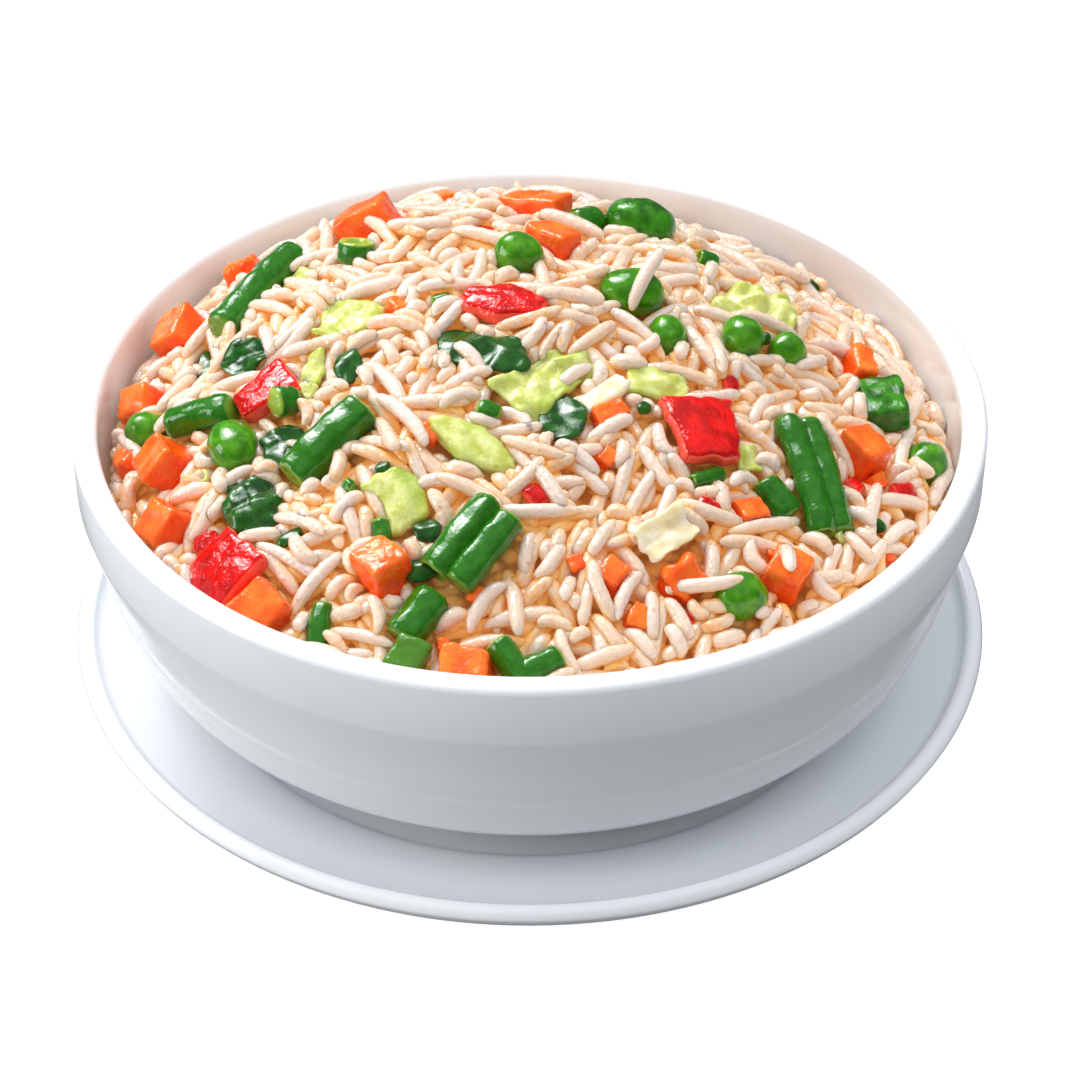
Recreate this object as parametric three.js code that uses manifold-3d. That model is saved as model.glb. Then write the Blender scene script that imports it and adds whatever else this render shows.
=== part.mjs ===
// Fried rice in a round porcelain bowl that stands on its saucer.
// Millimetres, +Z up, origin on the table under the middle of the saucer.
import * as THREE from 'three';
import { mergeVertices } from 'three/addons/utils/BufferGeometryUtils.js';
import Module from 'manifold-3d';

const wasm = await Module();
wasm.setup();

// Driving dimensions of the dishes
const RIM_TOP = 68;            // height of the bowl's rim above the table
const BOWL_RADIUS = 92;        // outside of the rim band
const LIP_RADIUS = 2.5;        // rounded top of the rim
const SAUCER_RADIUS = 95.6;
const SAUCER_RIM = 16;         // height of the saucer's thick edge
const WELL_TOP = 5;            // flat middle of the saucer
const FOOT_RADIUS = 50;        // middle of the foot rings of bowl and saucer
const SEAT_GAP = 0.3;          // between pieces that touch
const TURN_STEPS = 28;         // facets round each dish

// Driving dimensions of the rice heap
const FILL_RADIUS = 86.1;      // where the rice meets the inner wall
const CROWN = 86.5;            // height of the bare heap in its middle
const EDGE = 54;               // height of the rice against the wall
const EDGE_RISE = 5;           // how much higher it is towards the back
const RISE_AZIMUTH = THREE.MathUtils.degToRad(105);
const RISE_SPREAD = THREE.MathUtils.degToRad(45);
const LEAN_X = -0.05;
const LEAN_Y = 0.1;
const HEAP_WAVE = 0.9;         // long swells over the heap
const BUMP = 0.7;              // unevenness of the core between the grains
const CORE_RINGS = 9;
const CORE_SECTORS = 30;
const GRAIN_LENGTH = 13.5;
const GRAIN_WIDTH = 2.9;
const GRAIN_SIDES = 3;
const GRAIN_COUNT = 178;
const CHIP_COUNT = 20;         // small bits of vegetable between the grains
const SINK = 0.5;              // how far grains and chips stand above the core, middle to core

const PORCELAIN = { color: 0xf4f6f8, roughness: 0.12, metalness: 0 };
const RICE = { color: 0xeed9c2, roughness: 0.35, metalness: 0 };
const PEA_GREEN = { color: 0x4f9413, roughness: 0.25, metalness: 0 };
const BEAN_GREEN = { color: 0x2f7a12, roughness: 0.3, metalness: 0 };
const CARROT = { color: 0xfc5a12, roughness: 0.3, metalness: 0 };
const RED_PEPPER = { color: 0xe8150d, roughness: 0.2, metalness: 0 };
const GREEN_PEPPER = { color: 0x3d8a14, roughness: 0.2, metalness: 0 };
const LEAF_GREEN = { color: 0x1c5c12, roughness: 0.3, metalness: 0 };
const CABBAGE = { color: 0xdcdf8a, roughness: 0.4, metalness: 0 };

// Seeded draw, so that the heap comes out the same each time
function makeDraw(seed) {
  let state = seed;
  return (low, high) => {
    state = (state * 1664525 + 1013904223) % 4294967296;
    return low + (high - low) * (state / 4294967296);
  };
}

// Solids from meshes and back
function mergedFaces(geometry) {
  const bare = geometry.clone();
  bare.deleteAttribute('normal');
  bare.deleteAttribute('uv');
  const merged = mergeVertices(bare, 1e-4);
  const index = merged.index.array;
  const faces = [];
  for (let i = 0; i < index.length; i += 3) {
    const [a, b, c] = [index[i], index[i + 1], index[i + 2]];
    if (a !== b && b !== c && c !== a) faces.push(a, b, c);
  }
  merged.setIndex(faces);
  return merged;
}

function toSolid(geometry) {
  const merged = mergedFaces(geometry);
  return new wasm.Manifold(new wasm.Mesh({
    numProp: 3,
    vertProperties: new Float32Array(merged.attributes.position.array),
    triVerts: new Uint32Array(merged.index.array),
  }));
}

function toGeometry(solid) {
  const mesh = solid.getMesh();
  const geometry = new THREE.BufferGeometry();
  geometry.setAttribute('position', new THREE.BufferAttribute(new Float32Array(mesh.vertProperties), 3));
  geometry.setIndex(new THREE.BufferAttribute(new Uint32Array(mesh.triVerts), 1));
  return geometry;
}

// The biggest body of a cut solid, without loose scraps or sealed hollows
function mainBody(solid) {
  const bodies = solid.decompose();
  return bodies.reduce((best, body) => (body.volume() > best.volume() ? body : best));
}

function namedMesh(name, geometry, look) {
  const mesh = new THREE.Mesh(geometry, new THREE.MeshStandardMaterial(look));
  mesh.name = name;
  return mesh;
}

// Dishes: profiles of [radius, height] turned about Z
function smoothProfile(points, count) {
  const curve = new THREE.SplineCurve(points.map(([r, z]) => new THREE.Vector2(r, z)));
  return curve.getPoints(count);
}

function arcProfile(centreR, centreZ, radius, fromDegrees, toDegrees, count) {
  const points = [];
  for (let i = 0; i <= count; i += 1) {
    const angle = THREE.MathUtils.degToRad(fromDegrees + ((toDegrees - fromDegrees) * i) / count);
    points.push(new THREE.Vector2(centreR + radius * Math.cos(angle), centreZ + radius * Math.sin(angle)));
  }
  return points;
}

function turned(profile) {
  const geometry = new THREE.LatheGeometry(profile, TURN_STEPS);
  geometry.rotateX(Math.PI / 2);
  return mergedFaces(geometry);
}

const FLOOR_THICKNESS = 4.7;
const BOWL_FLOOR = WELL_TOP + SEAT_GAP + FLOOR_THICKNESS;
const WALL_STEPS = 7;
const LIP_STEPS = 3;

function innerWall(inset) {
  return [
    [0, BOWL_FLOOR + inset], [40, BOWL_FLOOR + inset], [58, BOWL_FLOOR + 1.6 + inset],
    [69.5 - inset, RIM_TOP - 51], [78.2 - inset, RIM_TOP - 42], [82.4 - inset, RIM_TOP - 32],
    [84.9 - inset, RIM_TOP - 22], [86.6 - inset, RIM_TOP - 12],
  ];
}

function bowlGeometry() {
  const footTop = WELL_TOP + SEAT_GAP;
  const lip = BOWL_RADIUS - LIP_RADIUS;
  const outside = smoothProfile([
    [FOOT_RADIUS + 2.2, footTop], [55, footTop + 3], [66, RIM_TOP - 56.6], [75.1, RIM_TOP - 50.6],
    [83.3, RIM_TOP - 42.6], [87.2, RIM_TOP - 32.6], [89.4, RIM_TOP - 22.6], [BOWL_RADIUS, RIM_TOP - 12.6],
  ], WALL_STEPS);
  const profile = [
    new THREE.Vector2(0, footTop + 1.8),
    new THREE.Vector2(FOOT_RADIUS - 3.2, footTop + 1.8),
    new THREE.Vector2(FOOT_RADIUS - 2.2, footTop),
    ...outside,
    ...arcProfile(lip, RIM_TOP - LIP_RADIUS, LIP_RADIUS, 0, 160, LIP_STEPS),
    new THREE.Vector2(86.8, RIM_TOP - 4),
    ...smoothProfile(innerWall(0).reverse(), WALL_STEPS),
  ];
  return turned(profile);
}

function saucerGeometry() {
  const edgeRadius = 1.9;
  const rimCentre = SAUCER_RADIUS - 2.1;
  const underside = [
    [FOOT_RADIUS + 3.4, 1.6], [74, 3.6], [87, 7.4], [93.6, 11.2], [SAUCER_RADIUS, SAUCER_RIM - 2],
  ];
  const topside = [[90.4, 13.2], [84, 10.6], [72, 7.6], [60, WELL_TOP], [0, WELL_TOP]];
  const profile = [
    new THREE.Vector2(0, 1.6),
    new THREE.Vector2(FOOT_RADIUS - 3.4, 1.6),
    new THREE.Vector2(FOOT_RADIUS - 2, 0),
    new THREE.Vector2(FOOT_RADIUS + 2, 0),
    ...smoothProfile(underside, 4),
    ...arcProfile(rimCentre, SAUCER_RIM - edgeRadius, edgeRadius, 10, 165, LIP_STEPS),
    ...smoothProfile(topside, 5),
  ];
  return turned(profile);
}

// Shape of the bare heap
function heapHeight(x, y) {
  const reach = Math.min(1, Math.hypot(x, y) / FILL_RADIUS);
  let swing = Math.atan2(y, x) - RISE_AZIMUTH;
  swing = Math.atan2(Math.sin(swing), Math.cos(swing));
  const edge = EDGE + EDGE_RISE * Math.exp(-((swing / RISE_SPREAD) ** 2));
  const dome = CROWN + (edge - CROWN) * reach ** 2 + (LEAN_X * x + LEAN_Y * y) * (1 - reach ** 2);
  const uneven = Math.sin(x / 7.5 + 1.3) * Math.cos(y / 9 - 0.4) + 0.7 * Math.sin((x - y) / 5.2);
  return dome + HEAP_WAVE * uneven * (1 - reach ** 6);
}

function heapNormal(x, y) {
  const step = 2;
  const slopeX = (heapHeight(x + step, y) - heapHeight(x - step, y)) / (2 * step);
  const slopeY = (heapHeight(x, y + step) - heapHeight(x, y - step)) / (2 * step);
  return new THREE.Vector3(-slopeX, -slopeY, 1).normalize();
}

// Place on the heap: local x lies along the piece, local z points away from the rice
function spot(x, y, lift, turn, tilt = 0, roll = 0) {
  const outward = heapNormal(x, y);
  const along = new THREE.Vector3(1, 0, 0).addScaledVector(outward, -outward.x).normalize();
  const across = new THREE.Vector3().crossVectors(outward, along);
  const surface = new THREE.Quaternion().setFromRotationMatrix(
    new THREE.Matrix4().makeBasis(along, across, outward),
  );
  const [aroundX, aroundY, aroundZ] = [roll, -tilt, turn].map(THREE.MathUtils.degToRad);
  const posed = new THREE.Quaternion().setFromEuler(new THREE.Euler(aroundX, aroundY, aroundZ, 'ZYX'));
  const origin = new THREE.Vector3(x, y, heapHeight(x, y)).addScaledVector(outward, lift);
  return new THREE.Matrix4().compose(origin, surface.multiply(posed), new THREE.Vector3(1, 1, 1));
}

function bentVertices(geometry, bend) {
  const position = geometry.attributes.position;
  const point = new THREE.Vector3();
  for (let i = 0; i < position.count; i += 1) {
    bend(point.fromBufferAttribute(position, i));
    position.setXYZ(i, point.x, point.y, point.z);
  }
  return geometry;
}

// Shapes of the toppings; grow widens each of them for the pocket it lies in
function halfSides(size, grow) {
  return size.map((side) => side / 2 + grow);
}

function roundShape(size, grow) {
  return new THREE.IcosahedronGeometry(1, 1).scale(...halfSides(size, grow));
}

// A cut die: its faces bulge a little, its edges and corners are rounded off
function dieShape(size, grow, seed) {
  const draw = makeDraw(seed);
  const [taper, skew, lean] = [draw(-0.07, 0.07), draw(-0.12, 0.12), draw(-0.1, 0.1)];
  const [halfLength, halfWidth, halfHeight] = halfSides(size, grow);
  const bulge = { face: 1.02, edge: 0.975, corner: 0.91 };
  const steps = grow > 0 ? 1 : 2;
  const box = new THREE.BoxGeometry(2, 2, 2, steps, steps, steps);
  return bentVertices(box, (p) => {
    const onFaces = Math.round(Math.abs(p.x) + Math.abs(p.y) + Math.abs(p.z));
    p.multiplyScalar(grow > 0 ? bulge.face : [1, bulge.face, bulge.edge, bulge.corner][onFaces]);
    const [x, y, z] = [p.x * (1 + taper * p.z), p.y * (1 - taper * p.x), p.z];
    p.set((x + skew * y) * halfLength, (y + lean * z) * halfWidth, z * halfHeight);
  });
}

function rodShape(length, width, grow, hollow) {
  const radius = width / 2 + grow;
  const half = length / 2 + grow;
  const end = hollow ? [[radius * 0.55, half], [0, half - 2.2]] : [[0, half]];
  const [neck, belly] = [radius * 0.96, half * 0.35];
  const body = [[neck, -half], [radius, -belly], [radius, belly], [neck, half]];
  const profile = [[0, -half], ...body, ...end];
  const rod = new THREE.LatheGeometry(profile.map(([r, y]) => new THREE.Vector2(r, y)), 8);
  return rod.rotateZ(-Math.PI / 2);
}

function beanShape([length, width], grow, hollow) {
  const bow = 0.03 * length;
  return bentVertices(rodShape(length, width, grow, hollow), (p) => {
    p.z -= bow * (p.x / (length / 2)) ** 2;
  });
}

function doubleBeanShape([length, width], grow) {
  const pod = width * 0.56;
  const halves = [-1, 1].map((side) => {
    const rod = rodShape(length - (side > 0 ? 1.2 : 0), pod, grow, side < 0);
    return toSolid(rod.translate(0, (side * (width - pod)) / 2, 0));
  });
  return toGeometry(halves[0].add(halves[1]));
}

function elbowShape([length, width], grow) {
  const arms = [0, 93].map((angle) => {
    const arm = rodShape(length, width, grow, false).translate(length / 2 - width / 4, 0, 0);
    return toSolid(arm.rotateZ(THREE.MathUtils.degToRad(angle)));
  });
  return toGeometry(arms[0].add(arms[1]));
}

function ringShape([width, height], grow) {
  const [outer, inner, half] = [width / 2 + grow, width * 0.22 - grow, height / 2 + grow];
  const profile = [[inner, -half], [outer, -half], [outer, half], [inner, half], [inner, -half]];
  const ring = new THREE.LatheGeometry(profile.map(([r, y]) => new THREE.Vector2(r, y)), 10);
  return ring.rotateZ(-Math.PI / 2);
}

// A leaf or a cut flat piece: a grid of u by v with both faces split alike
function sheetShape(sheet, grow) {
  const [length, width, thick] = sheet.size;
  const { taper = 0, bow = 0, wave = 0, fold = 0, curl = 0, steps = 3 } = sheet;
  const middle = (u, v) => {
    const corner = sheet.diamond ? 1 - 0.5 * Math.abs(u) : 1;
    const x = (length / 2 + grow) * u;
    const y = (width / 2 + grow) * v * (1 + taper * u) * corner + curl * (1 - u * u);
    const rise = bow * (1 - (u * u + v * v) / 2) + fold * Math.abs(v);
    return [x, y, rise + wave * Math.sin(2.6 * u + 1.7 * v) * Math.cos(2.2 * v - u)];
  };
  const points = [];
  const faces = [];
  const index = (layer, i, j) => (layer * (steps + 1) + i) * (steps + 1) + j;
  const addFace = (...corners) => faces.push(...corners.map((corner) => index(...corner)));
  for (const side of [1, -1]) {
    for (let i = 0; i <= steps; i += 1) {
      for (let j = 0; j <= steps; j += 1) {
        const [x, y, z] = middle((2 * i) / steps - 1, (2 * j) / steps - 1);
        points.push(x, y, z + side * (thick / 2 + 1.5 * grow));
      }
    }
  }
  for (let i = 0; i < steps; i += 1) {
    for (let j = 0; j < steps; j += 1) {
      const [a, b, c, d] = [[i, j], [i + 1, j], [i + 1, j + 1], [i, j + 1]];
      addFace([0, ...a], [0, ...b], [0, ...c]);
      addFace([0, ...a], [0, ...c], [0, ...d]);
      addFace([1, ...a], [1, ...c], [1, ...b]);
      addFace([1, ...a], [1, ...d], [1, ...c]);
    }
    const edges = [
      [[i, 0], [i + 1, 0]],
      [[i + 1, steps], [i, steps]],
      [[0, i + 1], [0, i]],
      [[steps, i], [steps, i + 1]],
    ];
    for (const [p, q] of edges) {
      addFace([0, ...p], [1, ...p], [1, ...q]);
      addFace([0, ...p], [1, ...q], [0, ...q]);
    }
  }
  const geometry = new THREE.BufferGeometry();
  geometry.setAttribute('position', new THREE.Float32BufferAttribute(points, 3));
  geometry.setIndex(faces);
  return geometry;
}

// Toppings by kind: [x, y] on the heap, lift of the middle above the bare rice, turn,
// tilt and roll in degrees, and the size along, across and up
const PEAS = [
  { at: [-76.5, -5], size: [8.6, 8.4, 8.2], lift: 1.6 },
  { at: [-57, -22.5], size: [12.5, 9.8, 9], lift: 2, turn: -76 },
  { at: [-2.5, 17.5], size: [10, 9.6, 9], lift: 2.6 },
  { at: [20, 9], size: [13.5, 10.4, 9.4], lift: 2.4, turn: 5 },
  { at: [27, -1.5], size: [8.2, 9.6, 8.8], lift: 2 },
  { at: [42, 1.5], size: [8.8, 9.6, 9], lift: 2.2 },
  { at: [51, 3.5], size: [8, 8, 7.8], lift: 1.6 },
  { at: [78.6, -12], size: [8.8, 9.2, 8.8], lift: 1.6 },
  { at: [39, -59.5], size: [10, 9.2, 9], lift: 2.2 },
];

const BEANS = [
  { at: [-64, -11.5], size: [14.6, 6.6], lift: 2.4, turn: -9 },
  { at: [-38, -28.5], size: [19.5, 8.2], lift: 3, turn: 43, hollow: true },
  { at: [-55.5, 27], size: [28.5, 7.6], lift: 3, turn: 60 },
  { at: [-10.3, -54.5], size: [18, 11.6], lift: 3.4, turn: 53, shape: doubleBeanShape },
  { at: [-20.5, -66.5], size: [11, 7.4], lift: 1.8, turn: 53 },
  { at: [54.3, -28.5], size: [27, 9.8], lift: 3, turn: -76, shape: doubleBeanShape },
  { at: [-1.6, -77.8], size: [9.5, 5.2], lift: 2, turn: 32, shape: elbowShape },
  { at: [-22.3, -74], size: [6.6, 6.4, 6.2], lift: 2, turn: -24, shape: dieShape },
  { at: [47, -36], size: [8.5, 5.6], lift: 1.6, turn: -50 },
  { at: [-46.5, -17], size: [4.6, 6.4], lift: 3, turn: -144, tilt: 38 },
  { at: [-34.5, 27], size: [8, 4.4], lift: 2.6, turn: 10, tilt: 60, shape: ringShape },
];

const CARROTS = [
  { at: [-78.3, 4.6], size: [8, 8, 8], lift: 1.4, turn: -20, roll: 15 },
  { at: [-79.6, -10.8], size: [7, 6.5, 6], lift: 0.6, turn: -40 },
  { at: [-70.4, -20.5], size: [9.4, 9, 9], lift: 2.4, turn: -60, tilt: 8, roll: 12 },
  { at: [-69.5, -35], size: [9, 9, 8.6], lift: 1.8, turn: -51, roll: 10 },
  { at: [-49.3, -60.2], size: [9, 8.6, 8.4], lift: 2.2, turn: -49, tilt: -8 },
  { at: [-33, 42], size: [13, 10, 9.6], lift: 3, turn: -12, tilt: 12 },
  { at: [1.2, 44], size: [14, 7.4, 7], lift: 2.6, turn: -30, tilt: 14 },
  { at: [4.6, 25.5], size: [11.5, 6.6, 6.4], lift: 2.2, turn: -48, tilt: 10 },
  { at: [-27, -57], size: [8.6, 8.4, 8.4], lift: 2.6, turn: -47, tilt: 12, roll: -10 },
  { at: [-11.8, -77], size: [9.4, 8.4, 8.4], lift: 2, turn: -12 },
  { at: [28.4, -57], size: [8.4, 8, 7.4], lift: 1.2, turn: 37, roll: 12 },
  { at: [48, -53], size: [8.4, 8, 8], lift: 1.2, turn: 63 },
  { at: [64.8, -18], size: [8.8, 8, 8], lift: 2.2, turn: -50, tilt: 10 },
  { at: [66, 9.5], size: [9, 5, 8], lift: 2, turn: -86, roll: 8 },
  { at: [-71.5, 25], size: [11, 8.4, 8], lift: 2.2, turn: -115, tilt: -8 },
  { at: [-60, 46], size: [7.6, 6.6, 6.6], lift: 2.4, turn: -20 },
];

const GREEN_PEPPERS = [
  { at: [22.5, 40], size: [15.5, 11.5, 11], lift: 2.6, turn: 0, shape: roundShape },
  { at: [70, -1.5], size: [12, 8.4, 5.6], lift: 3, turn: -85, roll: 35, shape: dieShape },
];

const RED_PEPPERS = [
  { at: [-56.5, -50], size: [12, 11.5, 3.8], lift: 2.2, turn: -35, bow: 1.2, tilt: 6 },
  { at: [-51, -11.5], size: [13, 7.6, 3.4], lift: 1.8, turn: 28, bow: 0.8, taper: -0.25 },
  { at: [-4.5, 0], size: [16.5, 13, 3.4], lift: 2.2, turn: -12, bow: 1.8, diamond: true, tilt: -8 },
  { at: [33, -26.5], size: [14.5, 12, 3.4], lift: 2.6, turn: -74, bow: 1.6, taper: -0.15 },
];

const LEAVES = [
  { at: [-52.5, -38], size: [13.5, 11.5, 1.2], lift: 2, turn: -64, wave: 1.3, bow: 2, steps: 4 },
  { at: [-47.5, -25.5], size: [9.5, 8.5, 1.2], lift: 1.2, turn: -35, wave: 0.9, fold: -1.5 },
  { at: [-13.5, -9], size: [10, 7.6, 1], lift: 1.4, turn: -68, wave: 0.8, bow: 0.8 },
  { at: [-5, -12.8], size: [12.5, 6.6, 1], lift: 1.6, turn: -32, wave: 0.7, bow: 1, taper: -0.4 },
  { at: [6.4, -27], size: [10.5, 8.4, 1.1], lift: 1.6, turn: -78, wave: 0.8, bow: 1 },
  { at: [-68, 11], size: [11, 6.6, 1.1], lift: 1.6, turn: -98, wave: 0.7, fold: -1.4, diamond: true },
  { at: [-56, 0.5], size: [11.5, 9, 1.2], lift: 1.8, turn: -55, wave: 1, bow: 0.8 },
];

const CABBAGES = [
  { at: [-35, 4], size: [13, 8.4, 1.8], lift: 1.4, turn: -6, wave: 0.8, taper: -0.3 },
  { at: [2, -18.8], size: [16.5, 8.4, 1.4], lift: 1.2, turn: 44, wave: 0.9, taper: 0.3, bow: 0.8 },
  { at: [-11, -33.8], size: [18.5, 10, 3.2], lift: 1.8, turn: -35, bow: 1.4, diamond: true },
  { at: [-26.5, -43.8], size: [12.5, 6.6, 2.6], lift: 1.2, turn: -58, curl: 2, bow: 0.6 },
  { at: [14.7, -21.4], size: [11, 4.6, 2.8], lift: 1.6, turn: 41 },
  { at: [24.4, -17.4], size: [11.5, 6.2, 1.4], lift: 1, turn: 0, bow: 0.8, wave: 0.4 },
  { at: [45.5, 16.5], size: [17, 13.5, 1.6], lift: 2.4, turn: -5, wave: 1.8, bow: 2.2, fold: -1.2,
    steps: 5 },
  { at: [24.6, -50], size: [12, 7, 1.6], lift: 1.4, turn: 41, fold: 1.6, wave: 0.5 },
];

const KINDS = [
  { stem: 'pea', rows: PEAS, look: PEA_GREEN, shape: roundShape },
  { stem: 'bean', rows: BEANS, look: BEAN_GREEN, shape: beanShape },
  { stem: 'carrot', rows: CARROTS, look: CARROT, shape: dieShape },
  { stem: 'pepper_green', rows: GREEN_PEPPERS, look: GREEN_PEPPER },
  { stem: 'pepper_red', rows: RED_PEPPERS, look: RED_PEPPER },
  { stem: 'leaf', rows: LEAVES, look: LEAF_GREEN },
  { stem: 'cabbage', rows: CABBAGES, look: CABBAGE },
];

function toppingGeometry(row, kind, grow, seed) {
  const shape = row.shape ?? kind.shape;
  if (!shape) return sheetShape(row, grow);
  if (shape === dieShape) return dieShape(row.size, grow, seed);
  return shape(row.size, grow, row.hollow);
}

// Each topping is trimmed clear of those before it and of the bowl's wall
function fittedToppings(cavity) {
  const fitted = [];
  for (const kind of KINDS) {
    kind.rows.forEach((row, number) => {
      const matrix = spot(...row.at, row.lift, row.turn ?? 0, row.tilt, row.roll);
      const seed = number + 11;
      const solidAt = (grow) => toSolid(toppingGeometry(row, kind, grow, seed).applyMatrix4(matrix));
      let solid = solidAt(0).intersect(cavity);
      for (const earlier of fitted) solid = solid.subtract(earlier.pocket);
      fitted.push({
        name: `${kind.stem}_${number + 1}`,
        look: kind.look,
        matrix,
        pocket: solidAt(SEAT_GAP),
        solid: mainBody(solid),
      });
    });
  }
  return fitted;
}

// Rice: a bare core cut to the bowl's hollow, then grains and chips of vegetable fused on
function cavitySolid(top) {
  const wall = smoothProfile(innerWall(SEAT_GAP + 0.1), WALL_STEPS);
  const rim = new THREE.Vector2(FILL_RADIUS, RIM_TOP);
  return toSolid(turned([...wall, rim, new THREE.Vector2(FILL_RADIUS, top), new THREE.Vector2(0, top)]));
}

function coreSolid(cavity) {
  const draw = makeDraw(5);
  const reach = FILL_RADIUS + 4;
  const points = [0, 0, heapHeight(0, 0), 0, 0, 0];
  const faces = [];
  const at = (ring, sector) => 2 + ((ring - 1) * CORE_SECTORS + (sector % CORE_SECTORS)) * 2;
  const addFace = (a, b, c) => faces.push(a, b, c, a + 1, c + 1, b + 1);
  for (let ring = 1; ring <= CORE_RINGS; ring += 1) {
    for (let sector = 0; sector < CORE_SECTORS; sector += 1) {
      const angle = (2 * Math.PI * (sector + 0.5 * (ring % 2))) / CORE_SECTORS;
      const radius = (reach * ring) / CORE_RINGS;
      const [x, y] = [radius * Math.cos(angle), radius * Math.sin(angle)];
      points.push(x, y, heapHeight(x, y) + draw(-BUMP, BUMP), x, y, 0);
    }
  }
  for (let sector = 0; sector < CORE_SECTORS; sector += 1) {
    addFace(0, at(1, sector), at(1, sector + 1));
    for (let ring = 2; ring <= CORE_RINGS; ring += 1) {
      const [a, b] = [at(ring - 1, sector), at(ring - 1, sector + 1)];
      const [c, d] = [at(ring, sector), at(ring, sector + 1)];
      addFace(a, c, ring % 2 ? b : d);
      addFace(...(ring % 2 ? [b, c, d] : [a, d, b]));
    }
    const [a, b] = [at(CORE_RINGS, sector), at(CORE_RINGS, sector + 1)];
    faces.push(a, a + 1, b + 1, a, b + 1, b);
  }
  const geometry = new THREE.BufferGeometry();
  geometry.setAttribute('position', new THREE.Float32BufferAttribute(points, 3));
  geometry.setIndex(faces);
  return toSolid(geometry).intersect(cavity);
}

function grainShape(length, width) {
  const [half, shoulder, radius] = [length / 2, length * 0.27, width / 2];
  const profile = [[0, -half], [radius, -shoulder], [radius, shoulder], [0, half]];
  const grain = new THREE.LatheGeometry(profile.map(([r, y]) => new THREE.Vector2(r, y)), GRAIN_SIDES);
  return grain.rotateZ(-Math.PI / 2);
}

// Even spiral over the heap, so that each piece has its own patch
function spiralPlace(number, count) {
  const reach = FILL_RADIUS * 0.985 * Math.sqrt((number + 0.5) / count);
  const angle = number * Math.PI * (3 - Math.sqrt(5));
  return [reach * Math.cos(angle), reach * Math.sin(angle)];
}

function fusedPieces(count, seed, keepClear, cavity, makePiece) {
  const draw = makeDraw(seed);
  const pieces = [];
  for (let number = 0; number < count; number += 1) {
    const [x, y] = spiralPlace(number, count);
    const turn = draw(0, 180);
    for (const attempt of [0, 1, 2, 3]) {
      const shrink = attempt > 1 ? 0.7 : 1;
      const solid = makePiece(x, y, turn + attempt * 55, shrink, draw);
      if (solid.intersect(keepClear).isEmpty() && solid.subtract(cavity).isEmpty()) {
        pieces.push(solid);
        break;
      }
    }
  }
  return pieces;
}

function grainPiece(x, y, turn, shrink, draw) {
  const length = GRAIN_LENGTH * draw(0.8, 1.12) * shrink;
  const shape = grainShape(length, GRAIN_WIDTH * draw(0.9, 1.1));
  return toSolid(shape.applyMatrix4(spot(x, y, SINK, turn, draw(-5, 5))));
}

function chipPiece(x, y, turn, shrink, draw) {
  const size = [draw(3, 5.5), draw(2.5, 4), 2.6].map((side) => side * shrink);
  const chip = new THREE.BoxGeometry(...size);
  const [besideX, besideY] = [x + 2.5, y - 2];
  return toSolid(chip.applyMatrix4(spot(besideX, besideY, SINK, turn, draw(-12, 12), draw(-20, 20))));
}

// Free spaces between wall and heap, kept clear of grains: [low corner, high corner]
const FREE_SPACES = [
  [[80.5, -5.5, 61.5], [85.1, 9, 68.5]],
  [[-84, 11.2, 61.5], [-79.7, 17.4, 68.5]],
  [[7.5, -84.3, 61.5], [15.5, -80, 68.5]],
  [[56.1, -60.3, 61.8], [60.3, -56.1, 68.5]],
  [[56.1, 56.1, 62.8], [60.3, 60.3, 68.5]],
];

function freeSpaceSolids() {
  return FREE_SPACES.map(([low, high]) => {
    const [from, to] = [new THREE.Vector3(...low), new THREE.Vector3(...high)];
    const size = to.clone().sub(from);
    const middle = from.add(to).multiplyScalar(0.5);
    return toSolid(new THREE.BoxGeometry(...size).translate(...middle));
  });
}

function riceGeometry(cavity, toppings) {
  const pockets = toppings.map((topping) => topping.pocket).reduce((all, pocket) => all.add(pocket));
  const keepClear = freeSpaceSolids().reduce((all, box) => all.add(box), pockets);
  let heap = coreSolid(cavity).subtract(pockets);
  const chips = fusedPieces(CHIP_COUNT, 7, keepClear, cavity, chipPiece);
  const grains = fusedPieces(GRAIN_COUNT, 3, keepClear, cavity, grainPiece);
  for (const piece of [...chips, ...grains]) heap = heap.add(piece);
  return toGeometry(mainBody(heap));
}

const plate = new THREE.Group();
const cavity = cavitySolid(CROWN + 40);   // reaches well above every topping
const toppings = fittedToppings(cavity);
plate.add(namedMesh('saucer', saucerGeometry(), PORCELAIN));
plate.add(namedMesh('bowl', bowlGeometry(), PORCELAIN));
plate.add(namedMesh('rice_heap', riceGeometry(cavity, toppings), RICE));
for (const { name, look, matrix, solid } of toppings) {
  const mesh = namedMesh(name, toGeometry(solid).applyMatrix4(matrix.clone().invert()), look);
  mesh.applyMatrix4(matrix);
  plate.add(mesh);
}

export default plate;
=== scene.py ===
# Fried rice heaped in a round white porcelain bowl on its saucer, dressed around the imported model.
# Shapes are worked in millimetres in the model's own frame and turned to metres when a piece is made.
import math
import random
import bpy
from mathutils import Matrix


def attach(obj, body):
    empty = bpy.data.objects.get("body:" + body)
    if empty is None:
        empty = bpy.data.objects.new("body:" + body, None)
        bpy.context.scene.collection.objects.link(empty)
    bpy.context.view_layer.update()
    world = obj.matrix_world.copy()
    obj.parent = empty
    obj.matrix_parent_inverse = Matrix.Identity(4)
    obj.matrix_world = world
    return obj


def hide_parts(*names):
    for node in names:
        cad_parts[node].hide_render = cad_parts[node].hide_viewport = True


bl_info = {
    "name": "Fried rice bowl",
    "version": (1, 0, 0),
    "blender": (4, 5, 0),
    "location": "3D View > Sidebar > Fried rice",
    "description": "Rice grains, cooked vegetables and glazed dishes around the packed model",
    "category": "Add Mesh",
}

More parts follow.
